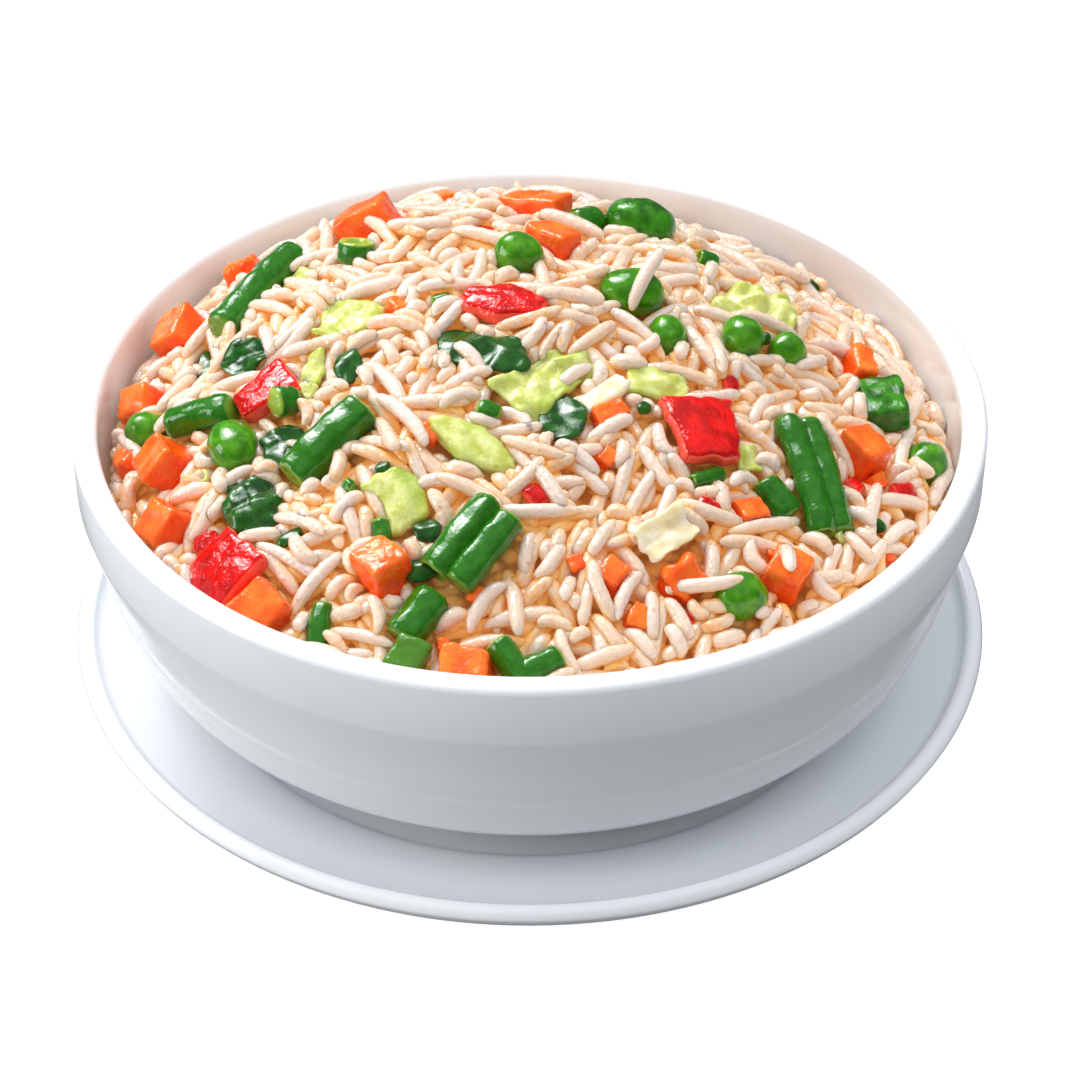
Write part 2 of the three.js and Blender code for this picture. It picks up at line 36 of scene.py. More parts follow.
import bmesh
import bpy
import numpy as np
from bpy.props import FloatProperty, FloatVectorProperty, IntProperty, PointerProperty
from mathutils import Matrix, Vector, noise
from mathutils.bvhtree import BVHTree

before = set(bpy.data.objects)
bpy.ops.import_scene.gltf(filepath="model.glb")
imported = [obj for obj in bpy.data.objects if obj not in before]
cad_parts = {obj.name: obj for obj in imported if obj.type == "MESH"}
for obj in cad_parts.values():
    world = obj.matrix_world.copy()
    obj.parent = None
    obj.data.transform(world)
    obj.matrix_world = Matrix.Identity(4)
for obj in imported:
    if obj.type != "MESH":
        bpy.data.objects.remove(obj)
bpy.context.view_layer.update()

MM = 0.001
BODY = "root"

# Dishes, in millimetres, as in the model
FOOT_RADIUS = 50.0
WELL_TOP = 5.0
SEAT_GAP = 0.3
DISH_STEPS = 160

# Rice heap, in millimetres, as in the model
FILL_RADIUS = 86.1
CROWN = 86.5
EDGE = 54.0
EDGE_RISE = 5.0
RISE_AZIMUTH = math.radians(105)
RISE_SPREAD = math.radians(45)
LEAN_X = -0.05
LEAN_Y = 0.1

# Photograph: the frame's side in pixels, for the places that were read off it
FRAME_PIXELS = 1080
SENSOR = 36.0
SIGHT_FROM = 480       # from the camera, where its rays are searched for the heap, in millimetres
SIGHT_TO = 800
SIGHT_STEP = 0.2
SEEN_RISE = 1.0        # how high above the bare heap its seen surface lies

# Refractive indices
FOOD_IOR = 1.36
GLAZE_IOR = 1.5


def linear(code):
    """Scene-linear colour with full alpha from an sRGB hex value."""
    channels = [int(code[i:i + 2], 16) / 255 for i in (1, 3, 5)]
    return tuple(c / 12.92 if c <= 0.04045 else ((c + 0.055) / 1.055) ** 2.4 for c in channels) + (1.0,)


def length_property(name, description, millimetres):
    return FloatProperty(name=name, description=description, default=millimetres * MM, min=0.0,
                         subtype="DISTANCE", unit="LENGTH", precision=4)


def number_property(name, description, default):
    return FloatProperty(name=name, description=description, default=default)


def angle_property(name, description, degrees):
    return FloatProperty(name=name, description=description, default=math.radians(degrees),
                         subtype="ANGLE", unit="ROTATION")


def colour_property(name, description, code):
    return FloatVectorProperty(name=name, description=description, default=linear(code), size=4,
                               min=0.0, max=1.0, subtype="COLOR")


class DishSettings(bpy.types.PropertyGroup):
    rim_top: length_property("Rim height", "Top of the bowl's rim above the table", 68)
    bowl_radius: length_property("Bowl radius", "Outside of the bowl's rim", 92)
    lip_radius: length_property("Lip radius", "Outer rounding of the bowl's lip", 1.6)
    saucer_radius: length_property("Saucer radius", "Outside of the saucer", 95.6)
    saucer_rim: length_property("Saucer rim height", "Top of the saucer's edge above the table", 16)
    glaze: colour_property("Glaze", "White glaze over porcelain", "#f3f5f7")


class RiceSettings(bpy.types.PropertyGroup):
    grain_length: length_property("Grain length", "Middle length of a cooked grain", 14.0)
    grain_width: length_property("Grain width", "Width of a cooked grain", 2.95)
    tries: IntProperty(name="Tries", description="Tries to drop a grain on the heap", default=12000, min=100)
    fillers: IntProperty(name="Fillers", description="Tries to drop a short grain in a gap", default=7000)
    seed: IntProperty(name="Seed", description="Seed of the drop", default=4)
    pale: colour_property("Pale rice", "Grains with the least oil", "#e5d4c8")
    cream: colour_property("Cream rice", "Grains that took up oil", "#e5cab1")
    stained: colour_property("Stained rice", "Grains that took up carrot and spice", "#ecab64")
    # painted light: strength of the glow that is painted into the gaps between the grains
    painted_glow: number_property("Light in the gaps", "Light that comes through the grains", 0.135)
    # painted shade: colour of the gaps between the grains and of the packed rice, also the colour of the
    # painted glow
    depth: colour_property("Rice in the shade", "Packed rice between the grains", "#f8bc67")


class VegetableSettings(bpy.types.PropertyGroup):
    pea: colour_property("Pea", "Cooked pea skin", "#559a14")
    bean: colour_property("Bean", "Green bean skin", "#2b740f")
    bean_flesh: colour_property("Bean flesh", "Cut end of a bean", "#9dbb44")
    carrot: colour_property("Carrot", "Outer flesh of a carrot die", "#fd5a12")
    # painted light: the yellower colour painted on the upper faces of the carrot dice
    carrot_lit_top: colour_property("Carrot core", "Inner flesh of a carrot die", "#ff9a30")
    red_pepper: colour_property("Red pepper", "Skin of red pepper", "#ee0e06")
    red_flesh: colour_property("Red pepper flesh", "Cut edge of red pepper", "#f2503a")
    green_pepper: colour_property("Green pepper", "Skin of green pepper", "#3d8a14")
    leaf: colour_property("Leaf", "Wilted dark leaf", "#1d5a12")
    cabbage: colour_property("Cabbage", "Pale cabbage", "#dfe29a")
    cabbage_green: colour_property("Cabbage edge", "Greener edge of the cabbage", "#a9c04a")


class StudioSettings(bpy.types.PropertyGroup):
    lens: FloatProperty(name="Lens", description="Focal length in millimetres", default=100.0, min=10.0)
    camera_back: length_property("Camera distance", "How far in front of the bowl the camera stands", 497)
    camera_up: length_property("Camera height", "Height of the camera above the table", 414.8)
    pitch: angle_property("Pitch", "Tilt of the camera up from straight down", 52.307)
    yaw: angle_property("Yaw", "Turn of the camera about the vertical", -0.243)
    key_power: number_property("Key light", "Watts of the softbox behind the bowl", 5.0)
    side_power: number_property("Side light", "Watts of the left softbox", 2.7)
    ceiling_light: number_property("Ceiling light", "Strength of the light from above", 1.85)
    wall_light: number_property("Wall light", "Strength of the light from the sides", 0.46)
    mirrored: number_property("Mirrored light", "Share of the room's light that gloss shows", 0.25)
    sparkle: number_property("Sparkle", "Brightness of the softbox in the gloss", 5.2)
    floor_glow: number_property("Floor", "Brightness of the floor as it is seen", 0.95)
    backdrop: number_property("Backdrop", "Brightness of the room as it is seen", 1.2)


class FriedRiceSettings(bpy.types.PropertyGroup):
    dishes: PointerProperty(type=DishSettings)
    rice: PointerProperty(type=RiceSettings)
    vegetables: PointerProperty(type=VegetableSettings)
    studio: PointerProperty(type=StudioSettings)


# Small helpers for materials

def set_inputs(tree, node, inputs):
    """Sets a node's inputs to values, or links them to other nodes' outputs."""
    for name, value in dict(inputs).items():
        if isinstance(value, bpy.types.NodeSocket):
            tree.links.new(value, node.inputs[name])
        else:
            node.inputs[name].default_value = value


def add_node(tree, kind, settings=(), inputs=()):
    """Adds a node with its settings, and sets or links its inputs."""
    node = tree.nodes.new(kind)
    for name, value in dict(settings).items():
        setattr(node, name, value)
    set_inputs(tree, node, inputs)
    return node


def new_material(name):
    """A material with a Principled shader; returns the material, its tree and the shader."""
    material = bpy.data.materials.new(name)
    material.use_nodes = True
    tree = material.node_tree
    return material, tree, tree.nodes["Principled BSDF"]


def noise_value(tree, pitch_mm, detail=1.0):
    """Noise on object coordinates whose lumps are about pitch_mm across."""
    place = add_node(tree, "ShaderNodeTexCoord").outputs["Object"]
    pattern = add_node(tree, "ShaderNodeTexNoise", inputs={
        "Vector": place, "Scale": 1 / (pitch_mm * MM), "Detail": detail})
    return pattern.outputs["Fac"]


def mapped(tree, value, low, high, to_low=0.0, to_high=1.0):
    """A value stretched from one range to another and held inside it."""
    stretched = add_node(tree, "ShaderNodeMapRange", {"interpolation_type": "SMOOTHSTEP"}, {
        "Value": value, "From Min": low, "From Max": high, "To Min": to_low, "To Max": to_high})
    return stretched.outputs["Result"]


def mixed(tree, share, first, second):
    """Colour between two colours by a share."""
    mix = add_node(tree, "ShaderNodeMix", {"data_type": "RGBA"}, {0: share, 6: first, 7: second})
    return mix.outputs[2]


def bumped(tree, shader, heights):
    """Chains bumps of (height, strength, depth in millimetres) into the shader's normal."""
    normal = None
    for height, strength, depth in heights:
        inputs = {"Height": height, "Strength": strength, "Distance": depth * MM}
        if normal is not None:
            inputs["Normal"] = normal
        normal = add_node(tree, "ShaderNodeBump", inputs=inputs).outputs["Normal"]
    tree.links.new(normal, shader.inputs["Normal"])
    tree.links.new(normal, shader.inputs["Coat Normal"])


def finish_food(tree, shader, colour, soft, soft_radius, gloss, wet):
    """What all cooked food shares: light that goes under the skin, and a moist gloss."""
    set_inputs(tree, shader, {
        "Base Color": colour, "Subsurface Weight": soft, "Subsurface Radius": soft_radius,
        "Subsurface Scale": MM, "IOR": FOOD_IOR, "Coat Weight": wet, "Coat Roughness": 0.06,
        "Roughness": gloss})


def porcelain_material(settings):
    """Glazed porcelain: a clear glossy glaze over a white body, with the faintest waviness."""
    material, tree, shader = new_material("glazed_porcelain")
    cloud = mapped(tree, noise_value(tree, 60), 0.3, 0.7)
    body = mixed(tree, cloud, settings.glaze, linear("#eef1f4"))
    gloss = mapped(tree, noise_value(tree, 9), 0.3, 0.7, 0.1, 0.17)
    set_inputs(tree, shader, {"Base Color": body, "IOR": GLAZE_IOR, "Roughness": gloss})
    bumped(tree, shader, [(noise_value(tree, 14), 0.12, 0.08)])
    return material


def rice_material(settings):
    """Cooked long-grain rice: moist and translucent, some grains stained by oil and carrot, with painted
    shade deep between the grains and a painted glow there.
    """
    material, tree, shader = new_material("cooked_rice")
    look = add_node(tree, "ShaderNodeAttribute", {"attribute_name": "grain_look"})
    parts = add_node(tree, "ShaderNodeSeparateXYZ", inputs={0: look.outputs["Vector"]}).outputs
    tone, stain, depth = parts["X"], parts["Y"], parts["Z"]
    mottle = noise_value(tree, 2.2)
    body = mixed(tree, tone, settings.pale, settings.cream)
    cloudy = mixed(tree, mapped(tree, mottle, 0.4, 0.8, 0.0, 0.35), body, settings.cream)
    patchy = add_node(tree, "ShaderNodeMath", {"operation": "MULTIPLY"}, {
        0: stain, 1: mapped(tree, noise_value(tree, 1.6), 0.3, 0.7)})
    stained = mixed(tree, patchy.outputs[0], cloudy, settings.stained)
    # Painted shade: the deeper a point lies between the grains, the more it takes the shade colour
    painted_gap_shade = mixed(tree, mapped(tree, depth, 0.0, 1.0, 0.0, 0.9), stained, settings.depth)
    specks = mapped(tree, noise_value(tree, 1.3), 0.71, 0.76, 0.0, 0.5)
    spiced = mixed(tree, specks, painted_gap_shade, linear("#b97a3e"))
    gloss = mapped(tree, mottle, 0.3, 0.7, 0.1, 0.2)
    finish_food(tree, shader, spiced, 1.0, (1.9, 1.7, 1.5), gloss, wet=0.8)
    painted_gap_glow(tree, shader, settings, depth)
    bumped(tree, shader, [(noise_value(tree, 0.95, 0.5), 1.0, 0.3)])
    return material


def painted_gap_glow(tree, shader, settings, share):
    """Painted glow: warm emission between the grains, standing in for light that comes through the clear
    grains above, where few bounces leave the gaps dark.
    """
    painted_glow = mixed(tree, share, linear("#000000"), settings.depth)
    set_inputs(tree, shader, {"Emission Color": painted_glow, "Emission Strength": settings.painted_glow})


def packed_rice_material(settings):
    """Rice under the top grains, painted all over in the shade colour as painted shade: ends of grains, with
    darker and browner painted shade in the gaps between them and a painted glow at their middles.
    """
    material, tree, shader = new_material("packed_rice")
    place = add_node(tree, "ShaderNodeTexCoord").outputs["Object"]
    scaled = add_node(tree, "ShaderNodeMapping", inputs={
        "Vector": place, "Rotation": (0, 0, 0.6), "Scale": (0.75, 1, 1)})
    cells = add_node(tree, "ShaderNodeTexVoronoi", inputs={
        "Vector": scaled.outputs["Vector"], "Scale": 1 / (2.8 * MM)}).outputs["Distance"]
    gaps = mapped(tree, cells, 0.25, 0.7)
    # Painted shade: darker, browner colour in the gaps between the grain ends
    colour = mixed(tree, gaps, settings.depth, linear("#c67f36"))
    gloss = mapped(tree, gaps, 0, 1, 0.25, 0.5)
    finish_food(tree, shader, colour, 1.0, (1.6, 1.4, 1.2), gloss, wet=0.3)
    painted_gap_glow(tree, shader, settings, mapped(tree, gaps, 0, 1, 1.0, 0.3))
    bumped(tree, shader, [(mapped(tree, cells, 0.1, 0.75, 1.0, 0.0), 0.9, 1.2)])
    return material


def skin_material(name, skin, deep, flesh_and_lit_colour, pitch, gloss, soft, radius, wet, relief):
    """Wet skin of a cooked vegetable, with deeper patches; its cut faces show the flesh by a number on its
    points, which on carrot dice also paints light on their upper faces. Pitch is the patches' size in
    millimetres, gloss two roughnesses."""
    material, tree, shader = new_material(name)
    patches = mapped(tree, noise_value(tree, pitch, 3), 0.35, 0.68)
    flesh_and_top_light = add_node(tree, "ShaderNodeAttribute", {"attribute_name": "flesh_and_top_light"}).outputs["Fac"]
    colour = mixed(tree, flesh_and_top_light, mixed(tree, patches, deep, skin), flesh_and_lit_colour)
    roughness = mapped(tree, noise_value(tree, 0.9), 0.3, 0.7, *gloss)
    finish_food(tree, shader, colour, soft, radius, roughness, wet)
    bumped(tree, shader, [(noise_value(tree, 1.3), relief, 0.3), (noise_value(tree, 0.6), relief, 0.16)])
    return material


def vegetable_materials(settings):
    """One material for each kind of vegetable, by the kind's name."""
    return {
        # Boiled peas: thin tight skin over soft green flesh
        "pea": skin_material("boiled_pea_skin", settings.pea, linear("#35790c"), settings.pea,
                             2.6, (0.1, 0.2), 0.25, (0.5, 0.9, 0.2), 0.5, 0.12),
        # Green beans: oily ribbed skin, pale wet ends where they were cut
        "bean": skin_material("oiled_bean_skin", settings.bean, linear("#22670a"), settings.bean_flesh,
                              1.6, (0.12, 0.24), 0.15, (0.4, 0.8, 0.2), 0.5, 0.3),
        # Carrot dice: moist cut faces, painted yellower towards their upper faces as painted light, in
        # random patches
        "carrot": skin_material("cut_carrot_flesh", settings.carrot, linear("#f8480a"), settings.carrot_lit_top,
                                2.4, (0.16, 0.3), 0.35, (1.6, 0.6, 0.15), 0.4, 0.65),
        # Red pepper: tight glossy skin, wet flesh on the cut edges
        "pepper_red": skin_material("red_pepper_skin", settings.red_pepper, linear("#b90704"),
                                    settings.red_flesh, 3.4, (0.1, 0.22), 0.25, (1.4, 0.3, 0.15), 0.5, 0.6),
        # Green pepper: tight glossy skin
        "pepper_green": skin_material("green_pepper_skin", settings.green_pepper, linear("#1f5a0b"),
                                      linear("#9dbb3a"), 3.0, (0.1, 0.22), 0.2, (0.5, 0.9, 0.2), 0.5, 0.3),
        # Wilted leaves: thin, dark, crinkled and wet
        "leaf": skin_material("wilted_leaf", settings.leaf, linear("#0d3a07"), linear("#5b9a2c"),
                              2.6, (0.12, 0.26), 0.1, (0.3, 0.6, 0.15), 0.4, 0.22),
        # Cabbage heart: pale cream
        "cabbage_heart": skin_material("pale_cabbage_heart", linear("#f6ead0"), linear("#efdcae"),
                                       linear("#f3e6a8"), 3.0, (0.16, 0.32), 0.7, (2.6, 2.4, 1.8), 0.4, 0.5),
        # Cabbage: watery and half clear, greener at its edge
        "cabbage": skin_material("soft_cabbage", settings.cabbage, linear("#bcc25a"), settings.cabbage_green,
                                 3.0, (0.16, 0.32), 0.6, (2.6, 2.4, 1.2), 0.2, 0.5),
    }


# Shape of the heap and places on it

def heap_height(x, y):
    """Height of the bare heap, for numbers and for arrays."""
    reach = np.minimum(1.0, np.hypot(x, y) / FILL_RADIUS)
    swing = np.arctan2(y, x) - RISE_AZIMUTH
    swing = np.arctan2(np.sin(swing), np.cos(swing))
    edge = EDGE + EDGE_RISE * np.exp(-((swing / RISE_SPREAD) ** 2))
    dome = CROWN + (edge - CROWN) * reach ** 2 + (LEAN_X * x + LEAN_Y * y) * (1 - reach ** 2)
    uneven = np.sin(x / 7.5 + 1.3) * np.cos(y / 9 - 0.4) + 0.7 * np.sin((x - y) / 5.2)
    return dome + 0.9 * uneven * (1 - reach ** 6)


def heap_normal(x, y):
    step = 2.0
    slope_x = (heap_height(x + step, y) - heap_height(x - step, y)) / (2 * step)
    slope_y = (heap_height(x, y + step) - heap_height(x, y - step)) / (2 * step)
    return Vector((-float(slope_x), -float(slope_y), 1.0)).normalized()


def heap_place(x, y, lift, turn, tip=0.0):
    """A place on the heap: local x lies along a piece and local z points away from the rice.
    Lengths are in millimetres, angles in radians."""
    outward = heap_normal(x, y)
    along = (Vector((1, 0, 0)) - outward * outward.x).normalized()
    surface = Matrix((along, outward.cross(along), outward)).transposed().to_4x4()
    spin = Matrix.Rotation(turn, 4, "Z") @ Matrix.Rotation(tip, 4, "X")
    return Matrix.Translation(Vector((x, y, float(heap_height(x, y)))) + outward * lift) @ surface @ spin


def camera_frame(studio):
    """Camera's place in millimetres and its turn."""
    turn = Matrix.Rotation(studio.yaw, 3, "Z") @ Matrix.Rotation(studio.pitch, 3, "X")
    return Vector((0.0, -studio.camera_back, studio.camera_up)) / MM, turn


def heap_under_pixel(studio, column, row):
    """Place on the heap that the photograph shows at a pixel."""
    start, turn = camera_frame(studio)
    focal = studio.lens / SENSOR * FRAME_PIXELS
    middle = FRAME_PIXELS / 2
    ray = turn @ Vector(((column - middle) / focal, (middle - row) / focal, -1.0))
    steps = np.arange(SIGHT_FROM, SIGHT_TO, SIGHT_STEP)
    x, y, z = (start[axis] + ray[axis] * steps for axis in range(3))
    gap = z - heap_height(x, y) - SEEN_RISE
    gap[np.hypot(x, y) > FILL_RADIUS] = np.inf
    reached = np.flatnonzero(gap <= 0)
    found = reached[0] if len(reached) else np.argmin(gap)
    return Vector((x[found], y[found], z[found]))


# Frames of the model's toppings: middle, axes and sizes, all in millimetres

def common_line(normals, areas):
    """The line that most of the faces look along."""
    close = math.cos(math.radians(28))
    alike = (np.abs(normals @ normals.T) > close) @ areas
    best = normals[np.argmax(alike)]
    near = np.abs(normals @ best) > close
    aligned = normals[near] * np.sign(normals[near] @ best)[:, None]
    line = (aligned * areas[near][:, None]).sum(axis=0)
    return line / np.linalg.norm(line)


def spread_lines(centres, areas):
    """Lines of the greatest, middle and least spread of a surface."""
    middle = (centres * areas[:, None]).sum(axis=0) / areas.sum()
    away = centres - middle
    values, vectors = np.linalg.eigh((away * areas[:, None]).T @ away)
    return [vectors[:, i] for i in np.argsort(values)[::-1]]


def topping_frame(name, form):
    """Turn and middle of a model's topping as a matrix, with its sizes along, across and up. The faces set
    the axes where form is 'die', the widest face where it is 'sheet', and else the long side does."""
    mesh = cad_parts[name].data
    count = len(mesh.polygons)
    normals = np.zeros(count * 3)
    centres = np.zeros(count * 3)
    areas = np.zeros(count)
    mesh.polygons.foreach_get("normal", normals)
    mesh.polygons.foreach_get("center", centres)
    mesh.polygons.foreach_get("area", areas)
    normals = normals.reshape(-1, 3)
    centres = centres.reshape(-1, 3) / MM
    points = np.array([vertex.co for vertex in mesh.vertices]) / MM
    middle = points.mean(axis=0)
    outward = np.array(heap_normal(middle[0], middle[1]))
    if form == "die":
        first = common_line(normals, areas)
        side = np.abs(normals @ first) < 0.6
        flat = normals[side] - np.outer(normals[side] @ first, first)
        flat /= np.linalg.norm(flat, axis=1)[:, None]
        second = common_line(flat, areas[side])
        lines = [first, second, np.cross(first, second)]
        up = max(lines, key=lambda line: abs(line @ outward))
        rest = [line for line in lines if line is not up]
        along = max(rest, key=lambda line: np.ptp(points @ line))
    elif form == "sheet":
        up = common_line(normals, areas)
        along = spread_lines(centres - np.outer(centres @ up, up), areas)[0]
    else:
        along = spread_lines(centres, areas)[0]
        up = outward - (outward @ along) * along
        if form == "pair":
            up = spread_lines(centres, areas)[2]
    up = up / np.linalg.norm(up) * (1 if up @ outward >= 0 else -1)
    along = along - (along @ up) * up
    along /= np.linalg.norm(along)
    towards = -along[1] if abs(along[1]) > 0.25 else along[0]
    along *= 1 if towards >= 0 else -1
    across = np.cross(up, along)
    axes = np.array([along, across, up])
    low = (points @ axes.T).min(axis=0)
    high = (points @ axes.T).max(axis=0)
    place = Matrix(axes.T.tolist()).to_4x4()
    place.translation = Vector(((low + high) / 2) @ axes)
    return place, Vector(high - low)


# Basic shapes, in millimetres about the origin; x runs along a piece, z points up from the rice

def moved(shape, move):
    """Moves each point of a shape by a function of where it is."""
    for vert in shape.verts:
        vert.co = move(vert.co)
    return shape


def rough(shape, amount, pitch, seed, stretch=(1, 1, 1)):
    """Pushes the surface in and out by a seeded noise."""
    shape.normal_update()
    shift = Vector((seed * 7.13, seed * 3.71, seed * 5.37))
    scale = Vector(stretch) / pitch
    moves = [vert.normal * amount * noise.noise(vert.co * scale + shift) for vert in shape.verts]
    for vert, move in zip(shape.verts, moves):
        vert.co += move
    return shape


def mark(shape, name, value):
    """Stores a number on each point by a function of the point."""
    layer = shape.verts.layers.float.get(name) or shape.verts.layers.float.new(name)
    for vert in shape.verts:
        vert[layer] = value(vert)
    return shape


def turned(profile, axis, steps):
    """A profile turned about an axis into a closed shape."""
    shape = bmesh.new()
    verts = [shape.verts.new(point) for point in profile]
    edges = [shape.edges.new(pair) for pair in zip(verts, verts[1:])]
    bmesh.ops.spin(shape, geom=verts + edges, cent=(0, 0, 0), axis=axis, angle=2 * math.pi,
                   steps=steps, use_merge=True)
    bmesh.ops.remove_doubles(shape, verts=shape.verts[:], dist=1e-4)
    bmesh.ops.recalc_face_normals(shape, faces=shape.faces[:])
    return shape


def rounded_box(size, rounding, cuts):
    """A box with rounded edges and evenly split faces."""
    shape = bmesh.new()
    bmesh.ops.create_cube(shape, size=2.0)
    bmesh.ops.subdivide_edges(shape, edges=shape.edges[:], cuts=cuts, use_grid_fill=True)
    half = Vector(size) / 2

    def place(point):
        spread = Vector(0.5 * c + 0.5 * math.sin(c * math.pi / 2) for c in point)
        full = spread * half
        inner = Vector(max(rounding - h, min(h - rounding, c)) for c, h in zip(full, half))
        return inner + (full - inner).normalized() * rounding

    return moved(shape, place)


def smooth_line(points, steps):
    """Points on a smooth curve through the given ones, in two dimensions."""
    line = []
    known = [points[0], *points, points[-1]]
    for a, b, c, d in zip(known, known[1:], known[2:], known[3:]):
        for step in range(steps):
            t = step / steps
            line.append(tuple(
                0.5 * (2 * q + (r - p) * t + (2 * p - 5 * q + 4 * r - s) * t ** 2
                       + (3 * q - p - 3 * r + s) * t ** 3)
                for p, q, r, s in zip(a, b, c, d)))
    return [*line, points[-1]]


def arc_line(centre, radius, start, end, steps):
    """Points on an arc between two angles in degrees."""
    angles = [math.radians(start + (end - start) * i / steps) for i in range(steps + 1)]
    return [(centre[0] + radius * math.cos(a), centre[1] + radius * math.sin(a)) for a in angles]


def add_piece(name, shape, material, slot, *replaced):
    """Makes a finished shape in millimetres a piece in metres that rides on the part."""
    bmesh.ops.scale(shape, vec=(MM, MM, MM), verts=shape.verts[:])
    mesh = bpy.data.meshes.new(name)
    shape.to_mesh(mesh)
    shape.free()
    return add_mesh_piece(name, mesh, material, slot, *replaced)


def add_mesh_piece(name, mesh, material, slot, *replaced):
    """Makes a finished mesh in metres a piece that rides on the part."""
    mesh.shade_smooth()
    mesh.materials.append(material)
    piece = bpy.data.objects.new(name, mesh)
    bpy.context.scene.collection.objects.link(piece)
    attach(piece, BODY)
    if replaced:
        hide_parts(*replaced)
    return piece


# Dishes

def bowl_profile(dishes):
    """Outline of half the bowl as radii and heights, from the axis underneath to the axis inside."""
    rim = dishes.rim_top / MM
    radius = dishes.bowl_radius / MM
    lip = dishes.lip_radius / MM
    foot = WELL_TOP + SEAT_GAP
    outside = smooth_line([
        (FOOT_RADIUS + 2.2, foot), (55, foot + 3), (66, rim - 56.6), (75.1, rim - 50.6),
        (83.3, rim - 42.6), (87.2, rim - 32.6), (89.4, rim - 22.6), (radius, rim - 12.6)], 6)
    inside = smooth_line([
        (86.6, rim - 12), (84.9, rim - 22), (82.4, rim - 32), (78.2, rim - 42), (69.5, rim - 51),
        (58, foot + 6.3), (40, foot + 4.7), (0, foot + 4.7)], 6)
    return [
        (0, foot + 1.8), (FOOT_RADIUS - 3.4, foot + 1.8),
        *arc_line((FOOT_RADIUS, foot + 1.2), 2.2, 200, 340, 6), *outside[1:],
        *arc_line((radius - lip, rim - lip), lip, 0, 80, 8),
        *arc_line((radius - 3.1, rim - 2.1), 2.1, 95, 165, 7), (86.8, rim - 4), *inside]


def saucer_profile(dishes):
    """Outline of half the saucer, in the same order."""
    radius = dishes.saucer_radius / MM
    rim = dishes.saucer_rim / MM
    underside = smooth_line([(FOOT_RADIUS + 3.4, 1.6), (74, 3.6), (87, 7.4), (93.6, 11.2), (radius, 14)], 8)
    topside = smooth_line([(90.4, 13.2), (84, 10.6), (72, 7.6), (60, WELL_TOP), (0, WELL_TOP)], 8)
    return [
        (0, 1.6), (FOOT_RADIUS - 3.4, 1.6), (FOOT_RADIUS - 2, 0.3), (FOOT_RADIUS - 1.5, 0),
        (FOOT_RADIUS + 1.5, 0), (FOOT_RADIUS + 2, 0.3), *underside,
        *arc_line((radius - 2.1, rim - 1.9), 1.9, 15, 165, 10), *topside]


def dish(profile):
    return turned([(r, 0, z) for r, z in profile], (0, 0, 1), DISH_STEPS)


class FRIEDRICE_OT_dishes(bpy.types.Operator):
    """Bowl and saucer of glazed porcelain"""

    bl_idname = "fried_rice.dishes"
    bl_label = "Bowl and saucer"

    def execute(self, context):
        dishes = context.scene.fried_rice.dishes
        glaze = porcelain_material(dishes)
        add_piece("glazed_bowl", dish(bowl_profile(dishes)), glaze, "porcelain", "bowl")
        add_piece("glazed_saucer", dish(saucer_profile(dishes)), glaze, "porcelain", "saucer")
        return {"FINISHED"}


# Vegetables

DIE_CUTS = 13
SHEET_CUTS = 27
ROD_STEPS = 36


def pea_shape(size, seed):
    """A cooked pea: nearly round, with shallow dents."""
    shape = bmesh.new()
    bmesh.ops.create_icosphere(shape, subdivisions=4, radius=1.0)
    moved(shape, lambda point: point * Vector(size) / 2)
    rough(shape, 0.5, 4.5, seed)
    rough(shape, 0.12, 1.4, seed + 1)
    return mark(shape, "flesh_and_top_light", lambda vert: 0.0)


def die_shape(size, seed, rounding=1.0):
    """A cut die: flat faces, softened edges, a little out of square."""
    draw = random.Random(seed)
    shape = rounded_box(size, rounding, DIE_CUTS)
    skew, lean, taper = draw.uniform(-0.1, 0.1), draw.uniform(-0.1, 0.1), draw.uniform(-0.07, 0.07)
    half = size[2] / 2

    def place(p):
        wide = 1 + taper * p.z / half
        return Vector((p.x * wide + skew * p.y, p.y * wide + lean * p.z, p.z))

    moved(shape, place)
    rough(shape, 0.55, 4.0, seed)
    rough(shape, 0.22, 1.3, seed + 2)

    # Painted light: the flesh colour is painted stronger towards the upper face, where the light falls, in
    # random patches
    def painted_top_light(vert):
        patch = noise.noise(vert.co / 3 + Vector((seed, 0, 0)))
        return max(0.0, min(1.0, -0.1 + 0.45 * vert.co.z / half + 0.4 * patch))

    return mark(shape, "flesh_and_top_light", painted_top_light)


